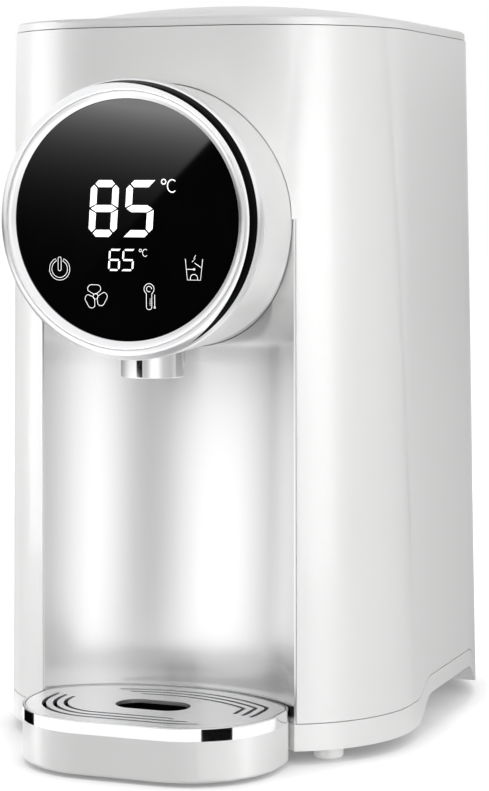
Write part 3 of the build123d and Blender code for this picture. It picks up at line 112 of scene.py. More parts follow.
class Wire:
    """One output of a node in a material."""

    def __init__(self, tree, socket=None):
        self.tree = tree
        self.socket = socket

    def node(self, kind, settings=None, inputs=None, output=0):
        """Add a node and return one of its outputs."""
        made = self.tree.nodes.new("ShaderNode" + kind)
        for name, value in (settings or {}).items():
            if name == "stops":
                set_stops(made.color_ramp.elements, value)
            else:
                setattr(made, name, value)
        for key, value in (inputs or {}).items():
            self.feed(made.inputs[key], value)
        return Wire(self.tree, made.outputs[output])

    def feed(self, socket, value):
        """Link a wire to a socket, or set the socket's value."""
        if isinstance(value, Wire):
            self.tree.links.new(value.socket, socket)
        else:
            socket.default_value = value

    def math(self, operation, first, second=0.0):
        return self.node("Math", {"operation": operation}, {0: first, 1: second})

    def __add__(self, other):
        return self.math("ADD", self, other)

    def __radd__(self, other):
        return self.math("ADD", other, self)

    def __sub__(self, other):
        return self.math("SUBTRACT", self, other)

    def __rsub__(self, other):
        return self.math("SUBTRACT", other, self)

    def __mul__(self, other):
        return self.math("MULTIPLY", self, other)

    def __rmul__(self, other):
        return self.math("MULTIPLY", other, self)


print("wires can be added, subtracted and multiplied")

# %% [markdown]
# ## Helpers for every finish
# All finishes start from the same shader and wander a little over the surface. Noise read from the piece's
# own coordinates stays fixed to it when it moves. A colour goes through a Mix node, because sums are only
# for single numbers.

# %% Start a material
COLOUR_MIX = {"factor": 0, "low": 6, "high": 7, "result": 2}


def start_finish(name, **constants):
    """Make a material and return it with a wire of its tree and its shader node."""
    material = bpy.data.materials.new(name)
    material.use_nodes = True
    shader = material.node_tree.nodes["Principled BSDF"]
    for key, value in constants.items():
        shader.inputs[key.replace("_", " ")].default_value = value
    return material, Wire(material.node_tree), shader


def blend_colours(wire, factor, low, high):
    """Mix two colours, each a wire or three numbers, by a factor."""
    low, high = [tone if isinstance(tone, Wire) else (*tone, 1) for tone in (low, high)]
    inputs = {COLOUR_MIX["factor"]: factor, COLOUR_MIX["low"]: low, COLOUR_MIX["high"]: high}
    return wire.node("Mix", {"data_type": "RGBA"}, inputs, COLOUR_MIX["result"])


def darker(tone, share):
    """A colour times a share."""
    return tuple(share * v for v in tone)


def paint_over(material, mask, tone):
    """Cover part of a finish with another colour."""
    wire = Wire(material.node_tree)
    paint = material.node_tree.nodes["Principled BSDF"].inputs["Base Color"]
    first_coat = Wire(material.node_tree, paint.links[0].from_socket)
    wire.feed(paint, blend_colours(wire, mask, first_coat, tone))
    return material


print("materials start with a shader and one wire")


# %% Read the surface
def axes(wire, vector=None):
    """The three numbers of a vector: of the place on the piece, unless another is given."""
    vector = vector or wire.node("TexCoord", output="Object")
    return [wire.node("SeparateXYZ", inputs={0: vector}, output=n) for n in range(3)]


def noise(wire, size, stretch=(1, 1, 1), detail=3.0):
    """Noise whose grains are about `size` metres across, drawn out along the axes by `stretch`."""
    place = wire.node("TexCoord", output="Object")
    scale = tuple(1 / (size * s) for s in stretch)
    place = wire.node("Mapping", inputs={"Vector": place, "Scale": scale})
    return wire.node("TexNoise", inputs={"Vector": place, "Scale": 1.0, "Detail": detail})


def bump(wire, height, strength, distance):
    """Normal that follows a height."""
    inputs = {"Height": height, "Strength": strength, "Distance": distance}
    return wire.node("Bump", inputs=inputs, output="Normal")


print("surfaces are read in the piece's own coordinates")

# %% [markdown]
# ## The white mouldings
# Casing, base, lid, drum and tray are injection moulded in one white plastic with a satin gloss. A flat
# white would look like paper: a real moulding has a very faint cloudiness, a roughness that wanders a little
# and an orange-peel skin that only shows in reflections. Noise at three sizes gives these.

# %% White moulding
WHITE = (0.83, 0.83, 0.825)
FOOT_WHITE = (0.84, 0.84, 0.83)
SATIN = 0.38
MATT = 0.55
CLOUD_SIZE = 60 * MM
CLOUD_SHARE = 0.975
PATCH_SIZE = 12 * MM
PATCH_ROUGHNESS = 0.08
PEEL_SIZE = 1.6 * MM
PEEL_STRENGTH = 0.04
PEEL_DEPTH = 0.2 * MM


def white_moulding(name, white, rough):
    """Satin white plastic."""
    material, wire, shader = start_finish(name, Coat_Weight=0.15, Coat_Roughness=0.06, IOR=1.48)
    cloud = blend_colours(wire, noise(wire, CLOUD_SIZE), darker(white, CLOUD_SHARE), white)
    wire.feed(shader.inputs["Base Color"], cloud)
    wire.feed(shader.inputs["Roughness"], rough + PATCH_ROUGHNESS * noise(wire, PATCH_SIZE))
    wire.feed(shader.inputs["Normal"], bump(wire, noise(wire, PEEL_SIZE), PEEL_STRENGTH, PEEL_DEPTH))
    return material


white_shell = white_moulding("white_shell", WHITE, SATIN)
white_foot = white_moulding("white_foot", FOOT_WHITE, MATT)
print("white", white_shell.name, white_foot.name)

# %% [markdown]
# ## Painted shade inside the tray
# Seen through the opening of the grille, the inside of the tray is in deep shade, and that shade is painted
# on in black. The tray is one white solid, so the painted shade is chosen by where a face looks: towards the
# middle of the tray, or up from its floor.

# %% Tray
# The black here is painted shade that stands in for the dark inside of the tray.
TRAY_PAINTED_SHADE = (0.010, 0.010, 0.010)
FACING_MARGIN = 0.001
FACING_UP = 0.5


def paint_shade_inside(material, node):
    """Painted shade: black on the faces that look inwards or up from the floor of a tray."""
    low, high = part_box(node)
    middle = (low + high) / 2
    wire = Wire(material.node_tree)
    across, along, height = axes(wire)
    facing_across, facing_along, facing_up = axes(wire, wire.node("NewGeometry", output="Normal"))
    outward = (across - middle.x) * facing_across + (along - middle.y) * facing_along
    wall = wire.math("LESS_THAN", outward, -FACING_MARGIN)
    level = wire.math("GREATER_THAN", facing_up, FACING_UP)
    tray_floor = level * wire.math("LESS_THAN", height, middle.z)
    return paint_over(material, wire.math("MAXIMUM", wall, tray_floor), TRAY_PAINTED_SHADE)


# The tray's white finish, with painted shade on its inside.
tray_white_painted_shade = paint_shade_inside(white_moulding("tray_white_painted_shade", WHITE, SATIN), "tray_body")
print("tray", tray_white_painted_shade.name)

# %% [markdown]
# ## Brushed metal
# The niche is a sheet of stainless steel brushed from top to bottom. Brushing leaves fine scratches, far
# longer than they are wide, so noise is drawn out along one axis and drives the colour, the roughness and a
# shallow bump. Bands of coarser noise keep the scratches from looking even.

# %% Brushed metal
ALONG_Z = (1, 1, 60)
ALONG_X = (60, 1, 1)
EVEN = (1, 1, 1)
SCRATCH_SIZE = 0.7 * MM
BAND_SIZE = 6 * MM
BRUSH_DETAIL = 2.0
BRUSH_SHARE = 0.93
BRUSH_ROUGHNESS = 0.10
SCRATCH_STRENGTH = 0.05
SCRATCH_DEPTH = 0.1 * MM


def brushed_metal(name, tone, rough, stretch):
    """Metal with fine scratches along one axis."""
    material, wire, shader = start_finish(name, Metallic=1.0)
    scratches = noise(wire, SCRATCH_SIZE, stretch, BRUSH_DETAIL)
    mixed = 0.5 * scratches + 0.5 * noise(wire, BAND_SIZE, stretch, BRUSH_DETAIL)
    wire.feed(shader.inputs["Base Color"], blend_colours(wire, mixed, darker(tone, BRUSH_SHARE), tone))
    wire.feed(shader.inputs["Roughness"], rough + BRUSH_ROUGHNESS * mixed)
    wire.feed(shader.inputs["Normal"], bump(wire, scratches, SCRATCH_STRENGTH, SCRATCH_DEPTH))
    return material


steel_panel = brushed_metal("steel_panel", (0.80, 0.80, 0.80), 0.15, ALONG_Z)
silver_grille = brushed_metal("silver_grille", (0.95, 0.95, 0.96), 0.30, ALONG_X)
steel = brushed_metal("steel", (0.62, 0.62, 0.63), 0.26, ALONG_X)
pot_steel = brushed_metal("pot_steel", (0.70, 0.70, 0.69), 0.24, ALONG_Z)
aluminium = brushed_metal("aluminium", (0.72, 0.73, 0.74), 0.42, EVEN)
print("brushed", [m.name for m in (steel_panel, silver_grille, steel, pot_steel, aluminium)])

# %% [markdown]
# ## Polished metal
# Chrome is the opposite of brushed steel: almost a mirror, with only faint smudges. It gets its look from
# what it reflects, which is why the studio further down matters as much as the metal.

# %% Polished metal
SMUDGE_SIZE = 18 * MM
SMUDGE_SHARE = 0.96
SMUDGE_ROUGHNESS = 0.05


def polished_metal(name, tone, rough):
    """Mirror-like metal with faint smudges."""
    material, wire, shader = start_finish(name, Metallic=1.0)
    smudge = noise(wire, SMUDGE_SIZE)
    wire.feed(shader.inputs["Base Color"], blend_colours(wire, smudge, darker(tone, SMUDGE_SHARE), tone))
    wire.feed(shader.inputs["Roughness"], rough + SMUDGE_ROUGHNESS * smudge)
    return material


chrome = polished_metal("chrome", (0.92, 0.92, 0.93), 0.03)
band_chrome = polished_metal("band_chrome", (0.80, 0.80, 0.81), 0.05)
brass = polished_metal("brass", (0.78, 0.60, 0.28), 0.16)
print("polished", [m.name for m in (chrome, band_chrome, brass)])

# %% [markdown]
# ## A painted reflection on the bezel
# The chrome bezel shows a black reflection on its outer flank. It is widest on the right, a little above the
# middle, and tapers away on both sides. Here it is a painted reflection, a near-black band of colour rather
# than something the chrome mirrors: it has no thickness, and is painted where the distance from the middle
# of the glass passes a limit.

# %% Bezel
glass_low, glass_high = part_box("display_glass")
bezel_low, bezel_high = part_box("head_bezel")
GLASS_CENTRE = (glass_low + glass_high) / 2
# Near-black colour for the painted reflection on the bezel's flank.
PAINTED_REFLECTION_BLACK = (0.004, 0.004, 0.004)
BAND_INSET = 3.3 * MM
BAND_RADIUS = (bezel_high.x - bezel_low.x) / 2 - BAND_INSET
BAND_TAPER = 3.2 * MM
BAND_BACK = glass_low.y + 1.4 * MM
BAND_TURN = math.radians(22)


def paint_reflection_band(material):
    """Painted reflection: near-black on the outer flank of the bezel, widest towards one side."""
    wire = Wire(material.node_tree)
    across, along, height = axes(wire)
    up = height - GLASS_CENTRE.z
    radius = wire.math("SQRT", across * across + up * up)
    toward = across * math.cos(BAND_TURN) + up * math.sin(BAND_TURN)
    away = 1 - wire.math("DIVIDE", toward, radius)
    outside = wire.math("GREATER_THAN", radius, BAND_RADIUS + BAND_TAPER * away * away)
    in_front = wire.math("LESS_THAN", along, BAND_BACK)
    return paint_over(material, outside * in_front, PAINTED_REFLECTION_BLACK)


# The bezel's chrome carries the painted reflection band.
bezel_chrome_painted_reflection = paint_reflection_band(polished_metal("bezel_chrome_painted_reflection", (0.93, 0.93, 0.94), 0.27))
print("bezel band from radius", round(BAND_RADIUS / MM, 1), "mm")

# %% [markdown]
# ## Glass, plastic, rubber and the rest
# The display glass is black behind a polished surface, so it is nearly black with a very smooth gloss.
# The other finishes are small or hidden, but a lid that opens shows them, so each gets its own colour,
# grain and roughness.

# %% Black glass and plain plastics
HAZE_SIZE = 30 * MM
HAZE_TONES = [(0.0015, 0.0015, 0.0015), (0.003, 0.003, 0.003)]
HAZE_ROUGHNESS = 0.02
GRAIN_CLOUD = 6
GRAIN_SHARE = 0.88
GRAIN_ROUGHNESS = 0.12
GRAIN_STRENGTH = 0.2


def black_glass_finish():
    """Polished glass, printed black on its back."""
    material, wire, shader = start_finish("black_glass", IOR=1.52)
    haze = noise(wire, HAZE_SIZE)
    wire.feed(shader.inputs["Base Color"], blend_colours(wire, haze, *HAZE_TONES))
    wire.feed(shader.inputs["Roughness"], HAZE_ROUGHNESS + HAZE_ROUGHNESS * haze)
    return material


def grained(name, tone, rough, grain, depth):
    """Matt plastic, rubber, felt or board with a fine grain."""
    material, wire, shader = start_finish(name)
    cloud = noise(wire, grain * GRAIN_CLOUD)
    wire.feed(shader.inputs["Base Color"], blend_colours(wire, cloud, darker(tone, GRAIN_SHARE), tone))
    wire.feed(shader.inputs["Roughness"], rough + GRAIN_ROUGHNESS * cloud)
    wire.feed(shader.inputs["Normal"], bump(wire, noise(wire, grain), GRAIN_STRENGTH, depth))
    return material


black_glass = black_glass_finish()
black_plastic = grained("black_plastic", (0.03, 0.03, 0.032), 0.42, 0.8 * MM, 0.1 * MM)
grey_plastic = grained("grey_plastic", (0.50, 0.50, 0.51), 0.42, 1.0 * MM, 0.1 * MM)
silicone = grained("silicone", (0.72, 0.72, 0.70), 0.38, 1.2 * MM, 0.1 * MM)
insulation = grained("insulation", (0.74, 0.69, 0.58), 0.80, 1.6 * MM, 0.6 * MM)
circuit_board = grained("circuit_board", (0.03, 0.20, 0.08), 0.30, 2.0 * MM, 0.05 * MM)
digit_block = grained("digit_block", (0.62, 0.62, 0.61), 0.45, 1.0 * MM, 0.05 * MM)
print("plain finishes", [m.name for m in (black_glass, black_plastic, grey_plastic, silicone, insulation)])

# %% [markdown]
# ## Dressing the solids
# The record gives every solid a slot, and each slot has a finish of the same name. Three solids have a
# finish of their own: the bezel with its painted reflection band, the tray with painted shade on its inside,
# and the tray's band, whose chrome is a little darker than the nozzle's.

# %% Give every solid its finish
FINISHES = {
    "white_shell": white_shell, "white_foot": white_foot, "steel_panel": steel_panel, "chrome": chrome,
    "silver_grille": silver_grille, "black_glass": black_glass, "black_plastic": black_plastic,
    "grey_plastic": grey_plastic, "steel": steel, "pot_steel": pot_steel, "silicone": silicone,
    "insulation": insulation, "aluminium": aluminium, "brass": brass, "circuit_board": circuit_board,
    "digit_block": digit_block,
}
OWN_FINISHES = {"head_bezel": bezel_chrome_painted_reflection, "tray_band": band_chrome, "tray_body": tray_white_painted_shade}


def dress_solids():
    """Put each solid's finish, named by its slot in the record, on its object."""
    slots = {part["node"]: part["material_slot"] for part in frame["record"]["subparts"]}
    for node, solid in frame["nodes"].items():
        solid.data.materials.clear()
        solid.data.materials.append(OWN_FINISHES.get(node, FINISHES[slots[node]]))
    return len(slots)


print("dressed", dress_solids(), "solids")

# %% [markdown]
# ## Lit marks on the display
# Behind the black glass sit seven-segment digits and four key symbols that shine white. On the model they
# are thin pieces on the face of the glass, so they are real shapes that can be seen from any side. Every
# mark is drawn flat, in millimetres right of and above the middle of the glass, and then set in place.

# %% The glass as a drawing board
MARK_DEPTH = 0.06 * MM
MARK_LIFT = 0.02 * MM
GLASS_FACE = Matrix.Translation((GLASS_CENTRE.x, glass_low.y - MARK_LIFT, GLASS_CENTRE.z))
GLASS_FACE = GLASS_FACE @ Matrix.Rotation(math.radians(90), 4, "X") @ Matrix.Scale(MM, 4)
GLOW_SIZE = 4 * MM
GLOW_TONES = [(0.94, 0.95, 0.96), (1.0, 1.0, 1.0)]


def lit_print():
    """White light through the glass."""
    material, wire, shader = start_finish("lit_print", Roughness=0.35, Emission_Strength=0.9)
    glow = blend_colours(wire, noise(wire, GLOW_SIZE), *GLOW_TONES)
    wire.feed(shader.inputs["Base Color"], glow)
    wire.feed(shader.inputs["Emission Color"], glow)
    return material


lit = lit_print()


def place_mark(name, mesh):
    """Set a flat drawing on the glass and let it ride with the casing."""
    mesh.transform(GLASS_FACE)
    mesh.materials.append(lit)
    mark = bpy.data.objects.new(name, mesh)
    bpy.context.collection.objects.link(mark)
    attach(mark, "dispenser")
    return mark


print("glass middle", [round(v / MM, 1) for v in GLASS_CENTRE])

# %% [markdown]
# ## Seven-segment digits
# A digit is seven bars round two windows. The two kinds of bar are a six-cornered one that lies and a
# five-cornered one that stands, and the rest are mirror images. A lying bar whose neighbour is dark runs
# out to the corner, and has a capital letter here. Each bar is one face, extruded a little, and the whole
# digit leans to the right.

# %% Bars of a digit
DIGIT_LEAN = 0.068
SEGMENTS = {"8": "abcdefg", "5": "AcDfg", "6": "Acdefg"}


def segment_corners(wide, high, thick, gap):
    """Corner points of each bar of a digit."""
    half = thick / 2
    middle = high / 2
    top = [(half + gap, high - half), (thick + gap, high), (wide - thick - gap, high)]
    top += [(wide - half - gap, high - half), (wide - thick - gap, high - thick)]
    top += [(thick + gap, high - thick)]
    open_top = top[:2] + [(wide, high), (wide - thick, high - thick)] + top[5:]
    bar = [(gap, middle), (thick, middle + half), (wide - thick, middle + half)]
    bar += [(wide - gap, middle), (wide - thick, middle - half), (thick, middle - half)]
    stand = [(0, middle + gap), (0, high - thick - gap), (half, high - half - gap)]
    stand += [(thick, high - thick - gap), (thick, middle + half + gap)]
    return {
        "a": top,
        "A": open_top,
        "b": [(wide - u, v) for u, v in stand],
        "c": [(wide - u, high - v) for u, v in stand],
        "d": [(u, high - v) for u, v in top],
        "D": [(wide - u, high - v) for u, v in open_top],
        "e": [(u, high - v) for u, v in stand],
        "f": stand,
        "g": bar,
    }


print("bars", {digit: len(bars) for digit, bars in SEGMENTS.items()})


# %% Draw the digits
def draw_number(name, text, left, bottom, wide, high, thick, gap, pitch):
    """Make a piece of leaning digits."""
    drawing = bmesh.new()
    corners = segment_corners(wide, high, thick, gap)
    for place, digit in enumerate(text):
        start = left + place * pitch
        for bar in SEGMENTS[digit]:
            points = [(start + u + DIGIT_LEAN * v, bottom + v, 0) for u, v in corners[bar]]
            drawing.faces.new([drawing.verts.new(p) for p in points])
    bmesh.ops.recalc_face_normals(drawing, faces=drawing.faces[:])
    sides = bmesh.ops.extrude_face_region(drawing, geom=drawing.faces[:])
    raised = [v for v in sides["geom"] if isinstance(v, bmesh.types.BMVert)]
    bmesh.ops.translate(drawing, verts=raised, vec=(0, 0, MARK_DEPTH / MM))
    bmesh.ops.recalc_face_normals(drawing, faces=drawing.faces[:])
    mesh = bpy.data.meshes.new(name)
    drawing.to_mesh(mesh)
    drawing.free()
    return place_mark(name, mesh)


pot_degrees = draw_number(
    "digits_pot", "85", left=-18.3, bottom=-7.35, wide=13.6, high=25.1, thick=3.1, gap=0.55, pitch=17.2,
)
set_degrees = draw_number(
    "digits_set", "65", left=-8.8, bottom=-22.4, wide=5.6, high=9.75, thick=0.82, gap=0.40, pitch=6.6,
)
print("digits", len(pot_degrees.data.polygons), len(set_degrees.data.polygons), "faces")

# %% [markdown]
# ## Line symbols
# The key symbols and the degree signs are thin lines. A curve with a round bevel makes a line of even
# width with neat corners, and turning it into a mesh and pressing it flat leaves a print-like ribbon.

# %% Draw lines on the glass
LINE_FLATNESS = 0.12
ARC_STEPS = 28
CLOSED_WITHIN = 0.01


def arc(u, v, radius, first, last, squeeze=1.0):
    """Points of an arc, with angles in degrees and its width squeezed."""
    angles = [math.radians(first + (last - first) * n / ARC_STEPS) for n in range(ARC_STEPS + 1)]
    return [(u + squeeze * radius * math.cos(a), v + radius * math.sin(a)) for a in angles]


def closed(points):
    """A line that goes back to its first point."""
    return points + points[:1]


def draw_lines(name, lines, width):
    """Make a piece of lines. A line that ends where it starts is closed."""
    curve = bpy.data.curves.new(name + "_line", "CURVE")
    curve.dimensions = "3D"
    curve.bevel_depth = width / 2
    curve.bevel_resolution = 2
    curve.use_fill_caps = True
    for points in lines:
        is_loop = (Vector(points[0]) - Vector(points[-1])).length < CLOSED_WITHIN
        knots = points[:-1] if is_loop else points
        spline = curve.splines.new("POLY")
        spline.points.add(len(knots) - 1)
        for knot, (u, v) in zip(spline.points, knots):
            knot.co = (u, v, 0, 1)
        spline.use_cyclic_u = is_loop
    drawing = bpy.data.objects.new(name + "_line", curve)
    mesh = bpy.data.meshes.new_from_object(drawing)
    bpy.data.objects.remove(drawing)
    bpy.data.curves.remove(curve)
    mesh.materials.clear()
    mesh.transform(Matrix.Scale(LINE_FLATNESS, 4, (0, 0, 1)))
    mesh.name = name
    return place_mark(name, mesh)


def degree_sign(name, left, top, size, width):
    """A small ring and a C."""
    ring = arc(left + 0.2 * size, top - 0.2 * size, 0.17 * size, 0, 360)
    letter = arc(left + 0.86 * size, top - 0.5 * size, 0.45 * size, 48, 312, 0.8)
    return draw_lines(name, [ring, letter], width)


pot_unit = degree_sign("unit_pot", left=16.9, top=18.3, size=6.1, width=0.5)
set_unit = degree_sign("unit_set", left=6.2, top=-12.5, size=3.5, width=0.22)
print("units", len(pot_unit.data.polygons), len(set_unit.data.polygons), "faces")

# %% [markdown]
# ## The four keys
# The keys are power, fan, temperature and fill. Their symbols are common ones, drawn here from arcs and
# short lines round a point on the glass, so that each can be moved as a whole.

# %% Power and fan keys
SYMBOL_LINE = 0.22
POWER_KEY = (-32.4, -21.9)
FAN_KEY = (-14.9, -33.9)


def power_symbol(u, v):
    """Ring that is open at the top, with a bar in the gap, both in outline."""
    ring = closed(arc(u, v, 5.0, 114, 426) + arc(u, v, 3.85, 426, 114))
    bar = closed(arc(u, v + 4.6, 0.75, 0, 180) + arc(u, v - 0.1, 0.75, 180, 360))
    return draw_lines("key_power", [ring, bar], SYMBOL_LINE)


def fan_symbol(u, v):
    """Three rounded blades round a small hub."""
    foot = [(-0.8, 1.0), (0.5, 1.2)]
    blade = closed(arc(0.7, 3.4, 1.8, -25, 80) + arc(-1.9, 3.3, 1.9, 95, 205) + foot)
    lines = [arc(u, v, 1.2, 0, 360)]
    for turn in (0, 120, 240):
        cosine = math.cos(math.radians(turn))
        sine = math.sin(math.radians(turn))
        lines.append([(u + x * cosine - y * sine, v + x * sine + y * cosine) for x, y in blade])
    return draw_lines("key_fan", lines, SYMBOL_LINE)


symbols = [power_symbol(*POWER_KEY), fan_symbol(*FAN_KEY)]
print("keys", [s.name for s in symbols])

# %% Temperature and fill keys
HEAT_KEY = (11.0, -33.4)
CUP_KEY = (32.4, -20.6)


def heat_symbol(u, v):
    """Thermometer with its bulb at the top and a scale beside it."""
    tube = closed(arc(u, v + 3.2, 2.4, -57, 237) + arc(u, v - 4.6, 1.3, 180, 360))
    bulb = arc(u, v + 3.2, 1.2, 0, 300)
    ticks = [[(u + 0.25, v - 1.2 - 0.9 * n), (u + 0.9, v - 1.2 - 0.9 * n)] for n in range(4)]
    scale = [[(u + 2.7, v + 0.8), (u + 2.7, v - 4.4)], arc(u + 2.7, v - 4.9, 0.35, 0, 360)]
    return draw_lines("key_heat", [tube, bulb] + ticks + scale, SYMBOL_LINE)


def cup_symbol(u, v):
    """Cup with a spark above two contacts."""
    cup = [(u - 4.1, v + 3.9), (u - 3.1, v - 5.3), (u + 3.1, v - 5.3), (u + 4.1, v + 3.9)]
    coil = [(u + 1.7, v - 5.3)] + arc(u, v - 4.5, 1.7, 0, 180) + [(u - 1.7, v - 5.3)]
    contact = [(u - 3.4, v - 0.6), (u + 0.1, v - 0.6)]
    knob = arc(u + 0.1, v - 0.6, 0.4, 0, 360)
    switch = [(u + 0.3, v + 2.2), (u + 3.4, v + 0.2)]
    spark = [(u + 0.9, v + 5.6), (u - 0.1, v + 4.2), (u + 0.7, v + 4.2), (u - 0.9, v + 2.6)]
    return draw_lines("key_cup", [cup, coil, contact, knob, switch, spark], SYMBOL_LINE)


symbols += [heat_symbol(*HEAT_KEY), cup_symbol(*CUP_KEY)]
print("keys", [s.name for s in symbols])

# %% [markdown]
# ## The surroundings
# The background is white for the camera and in reflections. As a light it would wash out a white casing, so
# there it is dim, and only fills the shadows that the lamps leave.

# %% Surroundings
FILL_LIGHT = 0.19


def ray_shows(wire):
    """1 for rays that show a thing to the camera, straight or by a mirror or glass, and 0 for light."""
    seen = wire.node("LightPath", output="Is Camera Ray")
    mirrored = wire.node("LightPath", output="Is Glossy Ray")
    through = wire.node("LightPath", output="Is Transmission Ray")
    return wire.math("MAXIMUM", wire.math("MAXIMUM", seen, mirrored), through)


def set_surroundings():
    """White for the camera and for reflections, dimmer as a light."""
    world = bpy.data.worlds.new("studio")
    bpy.context.scene.world = world
    world.use_nodes = True
    wire = Wire(world.node_tree)
    background = world.node_tree.nodes["Background"]
    background.inputs["Color"].default_value = (1, 1, 1, 1)
    wire.feed(background.inputs["Strength"], FILL_LIGHT + (1 - FILL_LIGHT) * ray_shows(wire))


set_surroundings()
print("fill light", FILL_LIGHT)

# %% [markdown]
# ## The floor
# The floor has to be as white as the background and still carry the soft shadow under the base. Close to the
# object part of its white comes from the lamps, so a shadow takes it away, and its own shine is dimmed where
# the object closes in over it. Further out it shines by itself, and its far edge disappears against the
# background.

# %% Floor
FLOOR_SIZE = 6.0
FLOOR_WHITE = 0.50
SHADOW_REACH = 0.55
SHINE_NEAR = 0.88
CONTACT_REACH = 35 * MM
CONTACT_DEPTH = 0.90
BLACK = (0, 0, 0)
FULL_WHITE = (1, 1, 1)


def add_stage_piece(name, drawing, material):
    """Turn a bmesh into a piece of the studio."""
    mesh = bpy.data.meshes.new(name)
    drawing.to_mesh(mesh)
    drawing.free()
    mesh.materials.append(material)
    piece = bpy.data.objects.new(name, mesh)
    bpy.context.collection.objects.link(piece)
    return piece


def floor_finish():
    """Matt white that shines by itself, less so close under the object."""
    material, wire, shader = start_finish(
        "floor", Base_Color=(FLOOR_WHITE, FLOOR_WHITE, FLOOR_WHITE, 1), Roughness=1.0,
        Specular_IOR_Level=0.0, Emission_Strength=1.0,
    )
    place = wire.node("TexCoord", output="Object")
    far = wire.node("VectorMath", {"operation": "LENGTH"}, {0: place}, "Value")
    shine_range = {"From Max": SHADOW_REACH, "To Min": SHINE_NEAR, "To Max": 1.0}
    shine = wire.node("MapRange", inputs={"Value": far, **shine_range})
    # Dimming the shine where the object closes in over it paints a contact shadow into the floor.
    open_sky = wire.node("AmbientOcclusion", inputs={"Distance": CONTACT_REACH}, output="AO")
    shine = shine * (1 - CONTACT_DEPTH * (1 - open_sky))
    glow = blend_colours(wire, shine * ray_shows(wire), BLACK, FULL_WHITE)
    wire.feed(shader.inputs["Emission Color"], glow)
    return material


def add_floor():
    """White floor that shows the object's soft shadow and lets lamps shine up through it."""
    drawing = bmesh.new()
    bmesh.ops.create_grid(drawing, x_segments=1, y_segments=1, size=FLOOR_SIZE)
    floor = add_stage_piece("floor", drawing, floor_finish())
    floor.visible_shadow = False
    return floor


add_floor()
print("floor white", FLOOR_WHITE, "own shine near the object", SHINE_NEAR)

# %% [markdown]
# ## A light tent
# Chrome and steel only look like metal if they have something to mirror. Product photographers stand a
# tent of cloth round the object, bright where a lamp is behind the cloth and grey between the lamps. This
# one is a round wall with a skirt on the floor, and only reflections see it. One colour ramp holds the tone
# at each angle round the object, in degrees from the front. Two more shade a level band of the wall, which
# gives the steel its dark fall-off under the drum. High up, the tent turns to plain white for the lid.

# %% Tent tones
TENT_LEVEL = 1.06
TENT_TONES = [
    (-180, 0.95), (-168, 0.45), (-150, 0.22), (-130, 0.42), (-112, 0.52), (-100, 0.56), (-90, 0.70),
    (-76, 0.98), (-59, 1.28), (-45, 1.34), (-31, 1.28), (-18, 1.0), (-9, 0.74), (0, 0.64), (9, 0.74),
    (21, 1.12), (32, 1.36), (44, 1.14), (54, 0.84), (64, 0.64), (90, 0.55), (115, 0.70), (135, 0.60),
    (150, 0.35), (166, 0.45), (180, 0.95),
]
TENT_PEAK = max(tone for angle, tone in TENT_TONES)
TENT_SHADE_TURN = [(-130, 0.6), (-105, 1.0), (-55, 1.0), (-15, 0.75), (20, 0.30), (64, 0.25)]
TENT_SHADE_HEIGHT = [(0.090, 0.0), (0.125, 0.30), (0.150, 0.85), (0.170, 1.0), (0.225, 1.0), (0.265, 0.0)]
TENT_SKY = (0.32, 0.37)
TENT_CENTRE_Y = -0.12
FULL_TURN = 360


def start_glow(name):
    """Make a material with no shader yet, and return it with a wire of its tree."""
    material = bpy.data.materials.new(name)
    material.use_nodes = True
    material.node_tree.nodes.remove(material.node_tree.nodes["Principled BSDF"])
    return material, Wire(material.node_tree)


def set_glow(wire, colour, strength=1.0):
    """Let a material give off a colour and nothing else."""
    glow = wire.node("Emission", inputs={"Color": colour, "Strength": strength})
    wire.feed(wire.tree.nodes["Material Output"].inputs["Surface"], glow)


def turn_stops(tones, peak=1.0):
    """Ramp stops for tones at angles from the front, as shares of a peak."""
    return [(angle / FULL_TURN + 0.5, tone / peak) for angle, tone in tones]


def tent_finish():
    """Cloth whose tone follows the angle round the object and the height."""
    material, wire = start_glow("tent")
    across, along, up = axes(wire)
    turn = wire.math("ARCTAN2", across, TENT_CENTRE_Y - along) * (0.5 / math.pi) + 0.5
    cloth = wire.node("ValToRGB", {"stops": turn_stops(TENT_TONES, TENT_PEAK)}, {0: turn})
    shade = wire.node("ValToRGB", {"stops": turn_stops(TENT_SHADE_TURN)}, {0: turn})
    shade = shade * wire.node("ValToRGB", {"stops": TENT_SHADE_HEIGHT}, {0: up})
    sky_range = {"From Min": TENT_SKY[0], "From Max": TENT_SKY[1]}
    sky = wire.node("MapRange", inputs={"Value": up, **sky_range})
    set_glow(wire, TENT_LEVEL * TENT_PEAK * cloth * (1 - shade) * (1 - sky) + sky)
    return material


print("tent tones", len(TENT_TONES), "peak", TENT_PEAK)

# %% Tent
TENT_RADIUS = 0.80
TENT_HEIGHT = 1.3
TENT_SKIRT = 0.17
TENT_LIFT = 1 * MM
TENT_STEPS = 90


def reflections_only(piece):
    """Let only mirror-like reflections see a piece of the studio."""
    piece.visible_camera = False
    piece.visible_diffuse = False
    piece.visible_shadow = False
    piece.visible_transmission = False
    return piece


def parts_of(extruded, kind):
    """The new edges or corners of an extrusion."""
    return [part for part in extruded["geom"] if isinstance(part, kind)]


